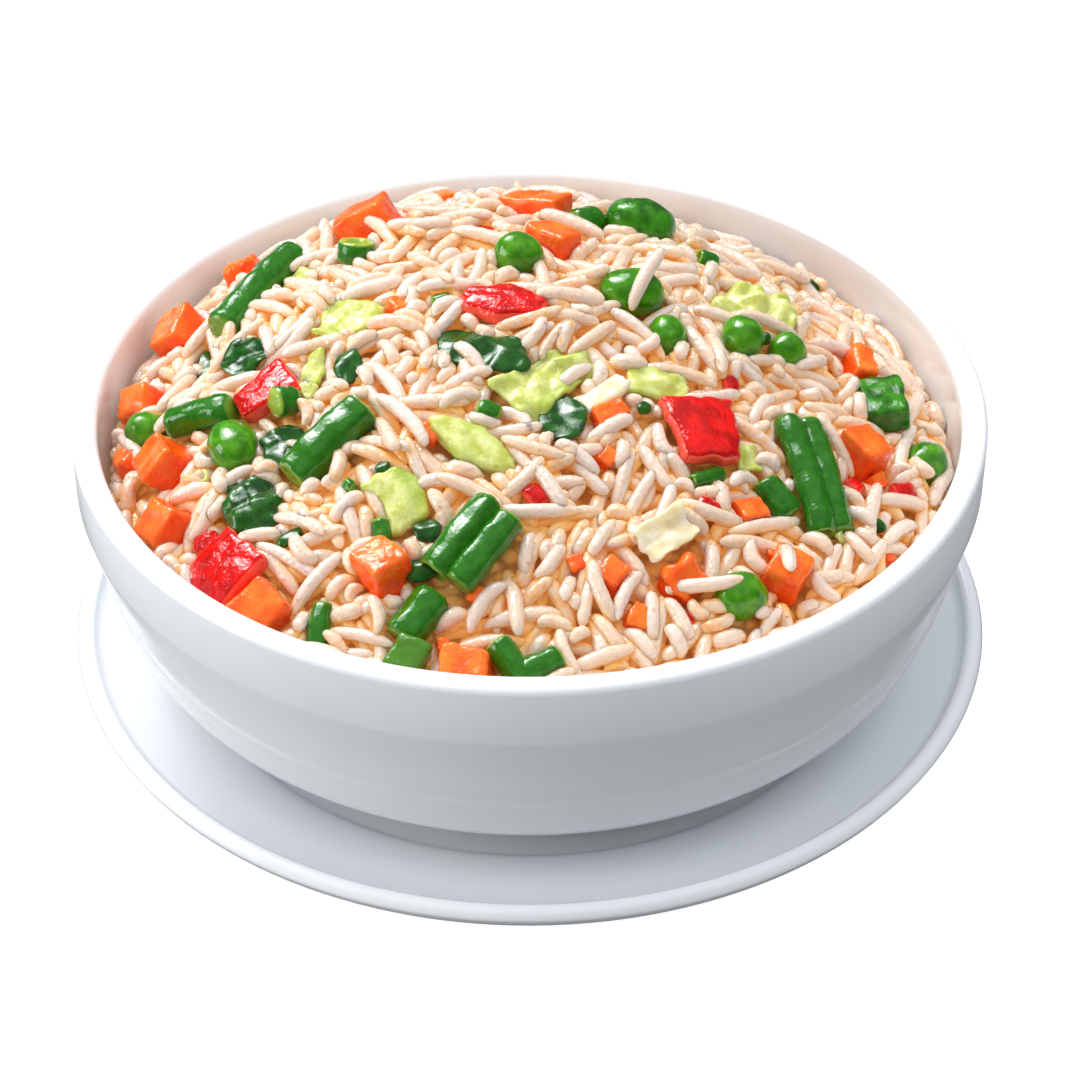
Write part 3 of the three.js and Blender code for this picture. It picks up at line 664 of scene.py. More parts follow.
def rod_shape(length, width, seed, hollow_front=False, hollow_back=False, height=None,
              paleness=0.35):
    """A cut length of bean: a ribbed tube, closed or open at its ends, with swellings over the seeds."""
    draw = random.Random(seed)
    radius = width / 2
    half = length / 2
    front = [(half - 0.5, radius * 0.93), (half, radius * 0.84)]
    back = [(-half, radius * 0.84), (-half + 0.5, radius * 0.93)]
    inside_front = [(half - 0.3, radius * 0.7), (half - 2.4, radius * 0.5), (half - 3.0, 0)]
    inside_back = [(-half + 3.0, 0), (-half + 2.4, radius * 0.5), (-half + 0.3, radius * 0.7)]
    closed_front = [(half + 0.1, radius * 0.4), (half + 0.15, 0)]
    closed_back = [(-half - 0.15, 0), (-half - 0.1, radius * 0.4)]
    steps = max(8, int(length / 0.8))
    body = [(-half + 1 + (length - 2) * i / steps, radius) for i in range(steps + 1)]
    profile = [*(inside_back if hollow_back else closed_back), *back, *body, *front,
               *(inside_front if hollow_front else closed_front)]
    shape = turned([(x, r, 0) for x, r in profile], (1, 0, 0), ROD_STEPS)
    phase = draw.uniform(0, 6)

    def flesh_and_top_light(vert):
        if math.hypot(vert.co.y, vert.co.z) > radius * 0.9:
            return 0.0
        hollow = hollow_front if vert.co.x > 0 else hollow_back
        return 0.9 if hollow else paleness

    mark(shape, "flesh_and_top_light", flesh_and_top_light)

    def place(p):
        swell = 1 + 0.035 * math.cos(2 * math.pi * p.x / 6.5 + phase)
        angle = math.atan2(p.z, p.y)
        ribs = (1 + 0.03 * math.cos(2 * angle) + 0.02 * math.cos(5 * angle + phase)
                + 0.01 * math.cos(9 * angle))
        squash = (height or width) / width
        sag = 0.03 * length * (p.x / half) ** 2
        return Vector((p.x, p.y * swell * ribs, p.z * swell * ribs * squash - sag))

    moved(shape, place)
    rough(shape, 0.35, 3.0, seed, (0.5, 1, 1))
    return rough(shape, 0.14, 0.9, seed + 1, (0.5, 1, 1))


def joined(shapes):
    """Several shapes as one."""
    whole = bmesh.new()
    for shape in shapes:
        mesh = bpy.data.meshes.new("joined")
        shape.to_mesh(mesh)
        shape.free()
        whole.from_mesh(mesh)
        bpy.data.meshes.remove(mesh)
    return whole


def pair_shape(size, seed):
    """Two bean halves side by side."""
    pod = size[1] * 0.56
    halves = []
    for side in (-1, 1):
        rod = rod_shape(size[0] - (1.4 if side > 0 else 0.2), pod, seed + side, side < 0, side > 0, size[2])
        bmesh.ops.translate(rod, vec=(0, side * (size[1] - pod) / 2, 0), verts=rod.verts[:])
        halves.append(rod)
    return joined(halves)


def sheet_shape(size, thick, seed, form):
    """A flat cut piece, bowed over the rice: form holds bow, wave, curl and fold in millimetres, and
    diamond and taper as shares of the width that are gone at the ends."""
    bow, wave = form.get("bow", 0.0), form.get("wave", 0.0)
    corner, taper = form.get("diamond", 0.0), form.get("taper", 0.0)
    curl, fold = form.get("curl", 0.0), form.get("fold", 0.0)
    shape = rounded_box((size[0], size[1], thick), min(thick * 0.46, 1.2), SHEET_CUTS)
    half_length, half_width = size[0] / 2, size[1] / 2
    mark(shape, "flesh_and_top_light", lambda vert: side_cut(vert, thick, half_length, half_width))
    shift = Vector((seed * 3.3, seed * 1.9, 0))

    def place(p):
        u, v = p.x / half_length, p.y / half_width
        edge = 0.09 * noise.noise(Vector((u * 2.2, v * 2.2, 0)) + shift)
        x = half_length * u * (1 + edge)
        y = half_width * v * (1 + taper * u) * (1 - corner * abs(u)) * (1 + edge) + curl * (1 - u * u)
        rise = bow * (0.5 - (u * u + v * v) / 2) + fold * abs(v)
        crinkle = wave * noise.noise(Vector((p.x, p.y, 0)) / 3.2 + shift)
        return Vector((x, y, p.z + rise + crinkle + wave * 0.5 * math.sin(2.6 * u + 1.7 * v)))

    moved(shape, place)
    rough(shape, 0.3, 2.6, seed)
    return rough(shape, 0.12, 0.9, seed + 1)


def side_cut(vert, thick, half_length, half_width):
    """1 on the side faces of a flat piece, where the flesh shows, and 0 on its skin."""
    near_end = abs(vert.co.x) > half_length - 0.35 or abs(vert.co.y) > half_width - 0.35
    return 1.0 if near_end and abs(vert.co.z) < thick * 0.42 else 0.0


def leaf_shape(size, seed, form):
    """A wilted leaf: a thin crumpled sheet with a ragged edge."""
    shape = bmesh.new()
    bmesh.ops.create_grid(shape, x_segments=40, y_segments=32, size=1.0)
    shift = Vector((seed * 2.7, seed * 4.1, seed))
    half_length, half_width = size[0] / 2, size[1] / 2
    crumple = form.get("wave", 1.0)

    def place(p):
        u, v = p.x, p.y
        ragged = 1 + 0.1 * noise.noise(Vector((math.atan2(v, u) * 0.9, 0, seed)))
        round_off = 1 - form.get("round", 0.35) * (u * u) * (v * v)
        x = half_length * u * ragged * round_off
        y = half_width * v * ragged * round_off * (1 - form.get("diamond", 0.0) * abs(u))
        flat = Vector((x, y, 0))
        lump = noise.noise(flat / 4.8 + shift) + 0.16 * noise.noise(flat / 2.2 + shift)
        rise = form.get("bow", 1.0) * (0.5 - (u * u + v * v) / 2) + form.get("fold", 0.0) * abs(v)
        side = noise.noise(Vector((x, y, 9)) / 3 + shift)
        return Vector((x + 0.5 * crumple * side, y + 0.5 * crumple * side, rise + crumple * 1.3 * lump))

    moved(shape, place)
    mark(shape, "flesh_and_top_light", lambda vert: max(0.0, 0.2 * noise.noise(vert.co / 5 + shift)))
    bmesh.ops.solidify(shape, geom=shape.faces[:], thickness=form.get("thick", 0.55))
    return shape


def cabbage_shape(size, seed, form):
    """A soft piece of cabbage: a sheet with a greener edge."""
    shape = sheet_shape(size, form.get("thick", 1.6), seed, form)
    half_width = size[1] / 2

    def edge_green(vert):
        share = abs(vert.co.y) / half_width + 0.6 * noise.noise(vert.co / 4 + Vector((seed, 0, 0)))
        return max(0.0, min(1.0, 0.9 * share - 0.25)) * form.get("green", 0.7)

    return mark(shape, "flesh_and_top_light", edge_green)


PEAS = [f"pea_{number}" for number in range(1, 10)]
CARROTS = [f"carrot_{number}" for number in range(1, 17)]
BEANS = {
    "bean_1": "rod", "bean_2": "hollow rod", "bean_3": "rod", "bean_4": "pair", "bean_5": "rod",
    "bean_6": "pair", "bean_7": "elbow", "bean_8": "die", "bean_9": "rod", "bean_10": "slice",
    "bean_11": "ring",
}
GREEN_PEPPERS = {"pepper_green_1": "round", "pepper_green_2": "die"}
RED_PEPPERS = {
    "pepper_red_1": {"bow": 1.2, "thick": 3.8},
    "pepper_red_2": {"bow": 0.8, "taper": -0.25},
    "pepper_red_3": {"bow": 1.8, "diamond": 0.5},
    "pepper_red_4": {"bow": 1.6, "taper": -0.15},
}
LEAVES = {
    "leaf_1": {"wave": 1.7, "bow": 2.0},
    "leaf_2": {"wave": 1.4, "bow": 1.0},
    "leaf_3": {"wave": 0.7, "bow": 0.8, "thick": 0.9},
    "leaf_4": {"wave": 0.8, "bow": 1.0, "diamond": 0.3},
    "leaf_5": {"wave": 0.6, "bow": 0.8, "thick": 0.9},
    "leaf_6": {"wave": 0.9, "fold": -1.4, "diamond": 0.4},
    "leaf_7": {"wave": 1.2, "bow": 0.8},
}
CABBAGES = {
    "cabbage_1": {"wave": 1.4, "taper": -0.3},
    "cabbage_2": {"wave": 1.6, "taper": 0.3, "bow": 0.8},
    "cabbage_3": {"thick": 3.2, "bow": 1.4, "diamond": 0.5, "green": 0.9},
    "cabbage_4": {"thick": 2.4, "curl": 2.0, "bow": 0.6, "green": 1.0},
    "cabbage_5": {"thick": 2.6, "green": 0.2},
    "cabbage_6": {"wave": 0.8, "bow": 0.8},
    "cabbage_7": {"wave": 3.0, "bow": 2.2, "fold": -1.2, "green": 0.4},
    "cabbage_8": {"wave": 1.0, "fold": 1.6, "green": 0.4},
}
HEARTS = {"cabbage_5", "cabbage_8"}
ROUGH_CARROTS = {"carrot_2", "carrot_11"}
ELBOW_AT = (-1.6, -77.8)
ELBOW_ARM = (9.4, 5.2)           # length and width
ELBOW_BEND = 93                  # degrees between its arms
ELBOW_TURN = math.radians(32)
TOPPINGS = {}                    # surface of each topping, by its name


def bean_piece(name, form, seed):
    """The shape of a bean piece with the matrix that puts it where the model has it."""
    if form == "die":
        place, size = topping_frame(name, "die")
        shape = die_shape(size, seed)
        return place, mark(shape, "flesh_and_top_light", lambda vert: 0.15)
    if form == "pair":
        place, size = topping_frame(name, "pair")
        return place, pair_shape(size, seed)
    if form == "elbow":
        arms = []
        for angle in (0, ELBOW_BEND):
            arm = rod_shape(*ELBOW_ARM, seed + len(arms), hollow_front=True)
            turn = Matrix.Rotation(math.radians(angle), 3, "Z")
            bmesh.ops.translate(arm, vec=(3.4, 0, 0), verts=arm.verts[:])
            bmesh.ops.rotate(arm, cent=(0, 0, 0), matrix=turn, verts=arm.verts[:])
            arms.append(arm)
        return heap_place(*ELBOW_AT, 2.0, ELBOW_TURN), joined(arms)
    if form == "slice":
        place, size = topping_frame(name, "sheet")
        shape = rod_shape(size[2], min(size[0], size[1]), seed, paleness=0.85)
        upright = Matrix.Rotation(math.radians(-90), 3, "Y")
        bmesh.ops.rotate(shape, cent=(0, 0, 0), matrix=upright, verts=shape.verts[:])
        return place, shape
    if form == "ring":
        place, size = topping_frame(name, "sheet")
        outer, inner, half = min(size[0], size[1]) / 2, size[0] * 0.22, size[2] / 2
        profile = [(inner, 0, -half), (outer - 0.4, 0, -half), (outer, 0, -half + 0.5),
                   (outer, 0, half - 0.5), (outer - 0.4, 0, half), (inner, 0, half), (inner, 0, -half)]
        shape = turned(profile, (0, 0, 1), ROD_STEPS)
        rough(shape, 0.3, 2.4, seed)
        return place, mark(shape, "flesh_and_top_light", lambda vert: 1.0 if abs(vert.co.z) > half - 0.2 else 0.0)
    place, size = topping_frame(name, "rod")
    hollow = form == "hollow rod"
    return place, rod_shape(size[0], size[1], seed, hollow, hollow, size[2] * 0.97)


def topping(name, place, shape, material, slot):
    """Puts a topping where the model has it, and keeps its surface for the rice to lie against."""
    bmesh.ops.transform(shape, matrix=place, verts=shape.verts[:])
    TOPPINGS[name] = BVHTree.FromBMesh(shape)
    return add_piece(f"cooked_{name}", shape, material, slot, name)


class FRIEDRICE_OT_vegetables(bpy.types.Operator):
    """Peas, beans, carrot dice, peppers, leaves and cabbage on the rice"""

    bl_idname = "fried_rice.vegetables"
    bl_label = "Vegetables"

    def execute(self, context):
        looks = vegetable_materials(context.scene.fried_rice.vegetables)
        # The seeds of each kind start at a number of their own
        for seed, name in enumerate(PEAS, 20):
            place, size = topping_frame(name, "round")
            topping(name, place, pea_shape(size, seed), looks["pea"], "pea")
        for seed, name in enumerate(CARROTS, 40):
            place, size = topping_frame(name, "die")
            shape = die_shape(size * 0.95, seed, 2.2 if name in ROUGH_CARROTS else 1.0)
            if name in ROUGH_CARROTS:
                rough(shape, 0.9, 2.8, seed)
            topping(name, place, shape, looks["carrot"], "carrot")
        for seed, (name, form) in enumerate(BEANS.items(), 60):
            place, shape = bean_piece(name, form, seed)
            topping(name, place, shape, looks["bean"], "bean")
        for seed, (name, form) in enumerate(GREEN_PEPPERS.items(), 80):
            place, size = topping_frame(name, form)
            shape = pea_shape(size, seed) if form == "round" else die_shape(size, seed)
            mark(shape, "flesh_and_top_light", lambda vert: 0.0)
            topping(name, place, shape, looks["pepper_green"], "pepper_green")
        for seed, (name, detail) in enumerate(RED_PEPPERS.items(), 90):
            place, size = topping_frame(name, "sheet")
            shape = sheet_shape(size, detail.get("thick", 3.4), seed, detail)
            topping(name, place, shape, looks["pepper_red"], "pepper_red")
        for seed, (name, detail) in enumerate(LEAVES.items(), 100):
            place, size = topping_frame(name, "sheet")
            topping(name, place, leaf_shape(size, seed, detail), looks["leaf"], "leaf")
        for seed, (name, detail) in enumerate(CABBAGES.items(), 110):
            place, size = topping_frame(name, "sheet")
            look = looks["cabbage_heart" if name in HEARTS else "cabbage"]
            topping(name, place, cabbage_shape(size, seed, detail), look, "cabbage")
        return {"FINISHED"}


# Small bits between the grains: pixel in the photograph, length and width in millimetres
BITS = {
    "carrot": [
        (446, 202, 6, 5), (401, 309, 5, 4.5), (611, 573, 5.5, 5), (431, 432, 4, 3.5), (606, 456, 4, 3.5),
        (638, 617, 5, 4.5), (748, 511, 6, 5), (478, 594, 4, 3.5), (876, 482, 4, 3.5), (576, 563, 3.5, 3),
        (443, 644, 3, 2.5), (610, 414, 7, 4.5), (886, 557, 3, 2.5), (772, 553, 3, 2.5)],
    "pepper_red": [
        (481, 239, 7, 5.5), (901, 495, 5.5, 5), (209, 542, 5, 4.5), (707, 508, 5, 4), (728, 384, 4, 3.5),
        (568, 210, 4, 3.5), (535, 495, 5, 4), (686, 618, 3, 2.5), (853, 485, 3, 4)],
    "bean": [
        (322, 626, 9, 4.5), (706, 478, 7, 2.7), (443, 304, 4, 3.4), (487, 413, 4.5, 4.2), (382, 532, 5, 3.5),
        (704, 264, 4.3, 4.2), (426, 613, 2.5, 2.2), (352, 487, 2.6, 2.4), (584, 225, 7, 6.5)],
    "leaf": [
        (351, 368, 8, 5.5), (429, 531, 5.5, 5), (421, 572, 4.5, 6.6), (461, 462, 5, 3), (385, 468, 3.5, 3),
        (409, 233, 3, 2.4), (642, 410, 3, 2.5), (760, 342, 3, 2.5), (807, 288, 4, 3), (876, 527, 3, 2.5),
        (293, 538, 5.5, 3.5)],
    "cabbage": [
        (318, 370, 9, 4), (574, 370, 8, 6), (303, 281, 7, 5), (312, 243, 5, 4), (745, 460, 6, 5),
        (678, 252, 4, 3), (310, 389, 5, 3.5), (838, 538, 2.5, 2.2), (209, 478, 2.6, 2.4)],
}
BIT_SHAPES = {
    "carrot": lambda size, seed: die_shape(size, seed, 0.7),
    "pepper_red": lambda size, seed: sheet_shape(size, size[2], seed, {"bow": 0.5}),
    "bean": lambda size, seed: rod_shape(size[0], size[1], seed, True, True),
    "leaf": lambda size, seed: leaf_shape(size, seed, {"wave": 0.7, "thick": 0.7}),
    "cabbage": lambda size, seed: cabbage_shape(size, seed, {"wave": 1.0, "thick": 1.4}),
}
BIT_LIFT = {"carrot": 0.9, "pepper_red": 1.0, "bean": 1.6, "leaf": 2.2, "cabbage": 1.6}
BIT_HEIGHT = {"carrot": 0.85, "pepper_red": 0.6, "bean": 1.0, "leaf": 0.3, "cabbage": 0.4}


def bit_place(studio, column, row, lift, draw):
    """A seeded turn on the heap at a pixel of the photograph."""
    point = heap_under_pixel(studio, column, row)
    return heap_place(point.x, point.y, lift, draw.uniform(0, math.pi), draw.uniform(-0.35, 0.35))


class FRIEDRICE_OT_bits(bpy.types.Operator):
    """Small bits of vegetable between the grains"""

    bl_idname = "fried_rice.bits"
    bl_label = "Small bits"

    def execute(self, context):
        settings = context.scene.fried_rice
        materials = {slot: bpy.data.objects[f"cooked_{slot}_1"].data.materials[0] for slot in BITS}
        for slot, rows in BITS.items():
            draw = random.Random(len(rows))
            shapes = []
            for number, (column, row, length, width) in enumerate(rows):
                size = Vector((length, width, min(length, width) * BIT_HEIGHT[slot]))
                shape = BIT_SHAPES[slot](size, 200 + number)
                place = bit_place(settings.studio, column, row, BIT_LIFT[slot], draw)
                bmesh.ops.transform(shape, matrix=place, verts=shape.verts[:])
                TOPPINGS[f"{slot}_bit_{number}"] = BVHTree.FromBMesh(shape)
                shapes.append(shape)
            add_piece(f"{slot}_bits", joined(shapes), materials[slot], slot)
        return {"FINISHED"}


# Rice

# Map of heights over square cells, in millimetres
MAP_STEP = 0.5
MAP_REACH = 88.0
MAP_CELLS = int(2 * MAP_REACH / MAP_STEP) + 1
MAP_LINE = np.linspace(-MAP_REACH, MAP_REACH, MAP_CELLS)
MAP_X, MAP_Y = np.meshgrid(MAP_LINE, MAP_LINE, indexing="ij")

# Grains and how they lie, in millimetres
GRAIN_KINDS = ("pale", "cream", "warm", "stained")
CREAM_FROM = 0.33      # a grain's tone above which it is cream
WARM_FROM = 0.67       # and above which it is warm
STAINED_FROM = 0.8     # a grain's other draw above which it is stained
GRAIN_FORMS = 16
GRAIN_RINGS = 11
GRAIN_SIDES = 8
GRAIN_REACH = 84.9     # how far from the bowl's axis a grain may reach
LENGTH_SPREAD = 1.7
LENGTH_LIMITS = (8.5, 16)
LONGEST_SEEN = 16.5
BROKEN_SHARE = 0.08
BROKEN_LENGTH = (6, 9)
CORE_RADIUS = 85.0
CORE_DEPTH = 2.4       # the core's surface below the bare heap's
CAP = (-0.8, 1.9)      # between these is drawn how high above the bare heap a grain's middle may lie
SPOTS = 5              # random cells, of which a grain takes the lowest
HEADINGS = 7           # ways that a grain is turned to see where it lies lowest
FULL_HEADINGS = 3      # those before it is cut short
SHORTENED = (4, 9)     # to a length between these
STEEPEST = 0.8
FILLER_CAP = (-1.2, 0.4)
FILLER_LENGTH = (4.5, 9.0)
FILLER_SPOTS = 3
FILLER_UNDER = 0.6     # share of a short grain that may lie under a topping
STATIONS = 9           # places along a grain where it can rest
GIVE = 0.9             # weight of a station's mean height against its highest point
PACKING = 0.45         # share of half its thickness that a grain's middle lies above what is under it
TOPPING_SHOWS = 0.6    # height above the bare heap from which a topping counts as seen
COVER = 0.12           # share of a grain that may lie over toppings
WIDE_COVER = 0.4       # the same for some grains
WIDE_COVER_SHARE = 0.35
TOPPING_REACH = 16     # no topping reaches farther from its middle
PRESS_CELLS = 2        # how many cells a grain may press into a topping's side
EDGE_CELLS = 2         # how many cells of a topping's edge a grain may lie over
COVERED_CELLS = 6      # the same for toppings that lie under some grains
COVERED = {"pea_1", "pea_4", "pea_8", "pea_9", "bean_3", "carrot_3", "carrot_4", "carrot_6", "pepper_red_1",
           "pepper_red_3", "pepper_red_4"}
OVER_EDGE = 2.2        # how much higher a grain may lie that rests on a topping's edge
LOWER_LAYER = 0.3      # share of the tries that come before the grains seen in the photograph
SEEN_CAP = 2.1         # how high above the bare heap a seen grain's middle may lie
SEEN_TILT = 0.25       # how far its slope may differ from the heap's
SEEN_HIDDEN = 0.2      # share of it that may lie hidden
SEEN_SLOPE = 0.5       # the steepest that it may lie
SHADE_DEPTH = 2.5      # how deep between the grains their colour is wholly that of the shade

# Long grains that lie over a topping, by their ends as in SEEN_GRAINS
OVER_TOPPINGS = [(627, 325, 661, 289), (664, 597, 743, 607), (782, 547, 790, 610)]

# Long grains on top, by the pixels of their two ends, read off the photograph
SEEN_GRAINS = [
    (120, 449, 155, 466), (183, 558, 206, 515), (290, 619, 339, 555), (290, 525, 330, 495),
    (339, 469, 390, 432), (377, 400, 439, 458), (356, 463, 382, 524), (324, 527, 362, 495),
    (500, 504, 549, 469), (399, 601, 419, 630), (462, 633, 500, 584), (508, 576, 523, 642),
    (520, 578, 531, 527), (346, 653, 399, 630), (431, 630, 468, 613), (706, 616, 783, 610),
    (730, 542, 803, 525), (772, 521, 809, 508), (812, 538, 874, 571), (698, 521, 749, 524),
    (631, 517, 697, 511), (638, 449, 672, 495), (556, 449, 602, 476), (500, 501, 546, 466),
    (546, 448, 557, 504), (545, 548, 575, 504), (537, 584, 566, 550), (526, 603, 580, 573),
    (590, 560, 615, 521), (576, 610, 615, 637), (611, 624, 638, 570), (572, 670, 635, 653),
    (625, 630, 658, 660), (655, 647, 652, 593), (684, 659, 670, 627), (714, 646, 747, 634),
    (871, 504, 930, 509), (880, 552, 915, 521), (892, 481, 913, 426), (864, 463, 865, 509),
    (652, 426, 667, 463), (582, 442, 632, 422), (501, 463, 537, 469), (759, 417, 769, 446),
    (747, 426, 772, 397), (714, 481, 726, 518), (696, 593, 713, 561), (744, 544, 762, 578),
    (614, 363, 642, 327), (624, 355, 661, 383), (369, 361, 410, 404), (379, 342, 398, 367),
    (422, 387, 445, 344), (440, 284, 490, 249), (297, 269, 338, 226), (338, 281, 361, 250),
    (346, 292, 392, 278), (456, 351, 490, 373), (438, 390, 493, 378), (438, 407, 484, 393),
    (503, 322, 525, 338), (530, 334, 559, 318), (500, 404, 536, 433), (556, 388, 592, 370),
    (675, 304, 697, 341), (277, 358, 317, 315), (603, 232, 640, 240), (537, 263, 547, 295)]


def grain_shape(seed):
    """One cooked grain, 2 long and 2 wide: one end blunt, one pointed, bent and a little lumpy."""
    draw = random.Random(seed)
    sharp = draw.uniform(2.8, 4.4)
    profile = []
    for ring in range(GRAIN_RINGS + 1):
        u = -math.cos(math.pi * ring / GRAIN_RINGS)
        power = sharp if u > 0 else 6.0
        radius = max(0.0, 1 - abs(u) ** power) ** 0.5
        profile.append((u, radius, 0))
    shape = turned(profile, (1, 0, 0), GRAIN_SIDES)
    drape, side = draw.uniform(0.1, 0.9), draw.uniform(-0.7, 0.7)
    wave, phase = draw.uniform(-0.25, 0.25), draw.uniform(0, 6)
    shift = Vector((seed * 1.7, 0, 0))

    def place(p):
        lump = 1 + 0.12 * noise.noise(Vector((p.x * 3.2, p.y * 0.6, p.z * 0.6)) + shift)
        bend = p.x * p.x
        sway = wave * math.sin(2.6 * p.x + phase)
        return Vector((p.x, p.y * lump - side * bend + sway, p.z * lump - drape * bend))

    return moved(shape, place)


def grain_arrays(seed):
    """Points and faces of a grain as arrays."""
    shape = grain_shape(seed)
    bmesh.ops.triangulate(shape, faces=shape.faces[:])
    shape.verts.ensure_lookup_table()
    shape.verts.index_update()
    points = np.array([vert.co for vert in shape.verts])
    faces = np.array([[vert.index for vert in face.verts] for face in shape.faces])
    shape.free()
    return points, faces


def smoothed(heights, steps):
    """Heights averaged over their neighbours, again and again."""
    for _ in range(steps):
        for axis in (0, 1):
            heights = (heights + np.roll(heights, 1, axis) + np.roll(heights, -1, axis)) / 3
    return heights


def eroded(cells, steps):
    """Cells that lie more than so many cells inside their patch."""
    for _ in range(steps):
        cells = (cells & np.roll(cells, 1, 0) & np.roll(cells, -1, 0)
                 & np.roll(cells, 1, 1) & np.roll(cells, -1, 1))
    return cells


def topping_map():
    """Height of the toppings over each cell of the map, and the cells that no grain covers."""
    height = np.full(MAP_X.shape, -1e3)
    clear = np.zeros(MAP_X.shape, bool)
    down = Vector((0, 0, -1))
    for name, tree in TOPPINGS.items():
        before = height.copy()
        # The points nearest to the map's four corners lie around the topping's middle
        corners = [tree.find_nearest(Vector((x, y, 70)))[0] for x in (-90, 90) for y in (-90, 90)]
        middle = sum(corners, Vector()) / 4
        low = np.searchsorted(MAP_LINE, (middle.x - TOPPING_REACH, middle.y - TOPPING_REACH))
        high = np.searchsorted(MAP_LINE, (middle.x + TOPPING_REACH, middle.y + TOPPING_REACH))
        for i in range(low[0], min(high[0], MAP_CELLS)):
            for j in range(low[1], min(high[1], MAP_CELLS)):
                hit = tree.ray_cast(Vector((MAP_LINE[i], MAP_LINE[j], 150)), down)[0]
                if hit is not None:
                    height[i, j] = max(height[i, j], hit.z)
        clear |= eroded(height > before, COVERED_CELLS if name in COVERED else EDGE_CELLS)
    return height, clear


def resting_line(need, station, half):
    """Level and slope of the highest line that rests on two stations, one to each side of the middle."""
    high = np.full(STATIONS, -1e3)
    np.maximum.at(high, station, need)
    count = np.bincount(station, minlength=STATIONS)
    mean = np.bincount(station, need, minlength=STATIONS) / np.maximum(count, 1)
    rest = np.where(count > 0, (1 - GIVE) * high + GIVE * mean, -1e3)
    place = (np.arange(STATIONS) - STATIONS // 2) / (STATIONS / 2) * half
    left, right = rest[:STATIONS // 2, None], rest[None, STATIONS // 2:]
    run = place[None, STATIONS // 2:] - place[:STATIONS // 2, None]
    slope = (right - left) / run
    level = left - slope * place[:STATIONS // 2, None]
    level[(left < -1e2) | (right < -1e2)] = -1e3
    best = np.unravel_index(np.argmax(level), level.shape)
    return level[best], slope[best]


def map_window(x, y, length):
    """The part of the map around a grain, as two slices."""
    i, j = (int((value + MAP_REACH) / MAP_STEP) for value in (x, y))
    cells = int((length / 2 + 1) / MAP_STEP) + 1
    return slice(max(0, i - cells), i + cells + 1), slice(max(0, j - cells), j + cells + 1)


def footprint(away_x, away_y, heading, length, width):
    """The cells that a grain covers, their places along it and half its thickness over them."""
    cos, sin = math.cos(heading), math.sin(heading)
    t = (away_x * cos + away_y * sin) / (length / 2)
    s = (-away_x * sin + away_y * cos) / (width / 2)
    outline = np.clip(1 - np.abs(t) ** 3, 0, None)
    inside = s * s < outline
    return inside, t[inside], width / 2 * np.sqrt(outline[inside] - s[inside] ** 2)


def resting_grain(patch, inside, t, thick, length):
    """Level and slope of a grain that lies on the part of the map under it."""
    station = np.clip(((t + 1) * STATIONS / 2).astype(int), 0, STATIONS - 1)
    return resting_line(patch[inside] + PACKING * thick, station, length / 2)


def raise_maps(maps, window, inside, top):
    """Raises maps of heights to the top of a grain."""
    for heights in maps:
        patch = heights[window]
        patch[inside] = np.maximum(patch[inside], top)


def lay_seen_grains(studio, width_mean, draw, ground, packed, clear):
    """Lays the grains that the photograph shows on top, and keeps the others off them."""
    grains = []
    for ends in SEEN_GRAINS + OVER_TOPPINGS:
        left, top, right, bottom = ends
        first = heap_under_pixel(studio, left, top)
        second = heap_under_pixel(studio, right, bottom)
        middle, along = (first + second) / 2, second - first
        length = min(LONGEST_SEEN, along.length)
        heading = math.atan2(along.y, along.x)
        width = width_mean * draw.uniform(0.95, 1.1)
        window = map_window(middle.x, middle.y, length)
        patch = ground[window]
        away_x, away_y = MAP_X[window] - middle.x, MAP_Y[window] - middle.y
        inside, t, thick = footprint(away_x, away_y, heading, length, width)
        level, slope = resting_grain(patch, inside, t, thick, length)
        slope = max(-SEEN_SLOPE, min(SEEN_SLOPE, slope))
        if ends not in OVER_TOPPINGS:
            level = min(level, float(heap_height(middle.x, middle.y)) + SEEN_CAP)
            lean = along.z / math.hypot(along.x, along.y)
            slope = max(lean - SEEN_TILT, min(lean + SEEN_TILT, slope))
        top = level + slope * t * length / 2 + thick
        if (patch[inside] > top).mean() > SEEN_HIDDEN:
            continue
        grains.append((middle.x, middle.y, level, heading, slope, length, width, draw.uniform(0, 0.66),
                       draw.uniform(0, 0.7), draw.uniform(-1, 1)))
        raise_maps((ground, packed), window, inside, top)
        clear[window] |= eroded(inside, 1)
    return grains


def lowest_spot(draw, ground, base, spots):
    """The lowest of some random cells of the map, and a point near it."""
    reach = GRAIN_REACH * np.sqrt(draw.random(spots))
    angle = draw.uniform(0, 2 * math.pi, spots)
    cells_i = ((reach * np.cos(angle) + MAP_REACH) / MAP_STEP).astype(int)
    cells_j = ((reach * np.sin(angle) + MAP_REACH) / MAP_STEP).astype(int)
    lowest = np.argmin(ground[cells_i, cells_j] - base[cells_i, cells_j])
    i, j = cells_i[lowest], cells_j[lowest]
    x = MAP_LINE[i] + draw.uniform(-0.2, 0.2)
    y = MAP_LINE[j] + draw.uniform(-0.2, 0.2)
    return i, j, x, y


def random_length(draw, length_mean, filler):
    """Length of a random grain: some are broken, and those that fill gaps are short."""
    if filler:
        return draw.uniform(*FILLER_LENGTH)
    if draw.random() < BROKEN_SHARE:
        return draw.uniform(*BROKEN_LENGTH)
    return float(np.clip(draw.normal(length_mean, LENGTH_SPREAD), *LENGTH_LIMITS))


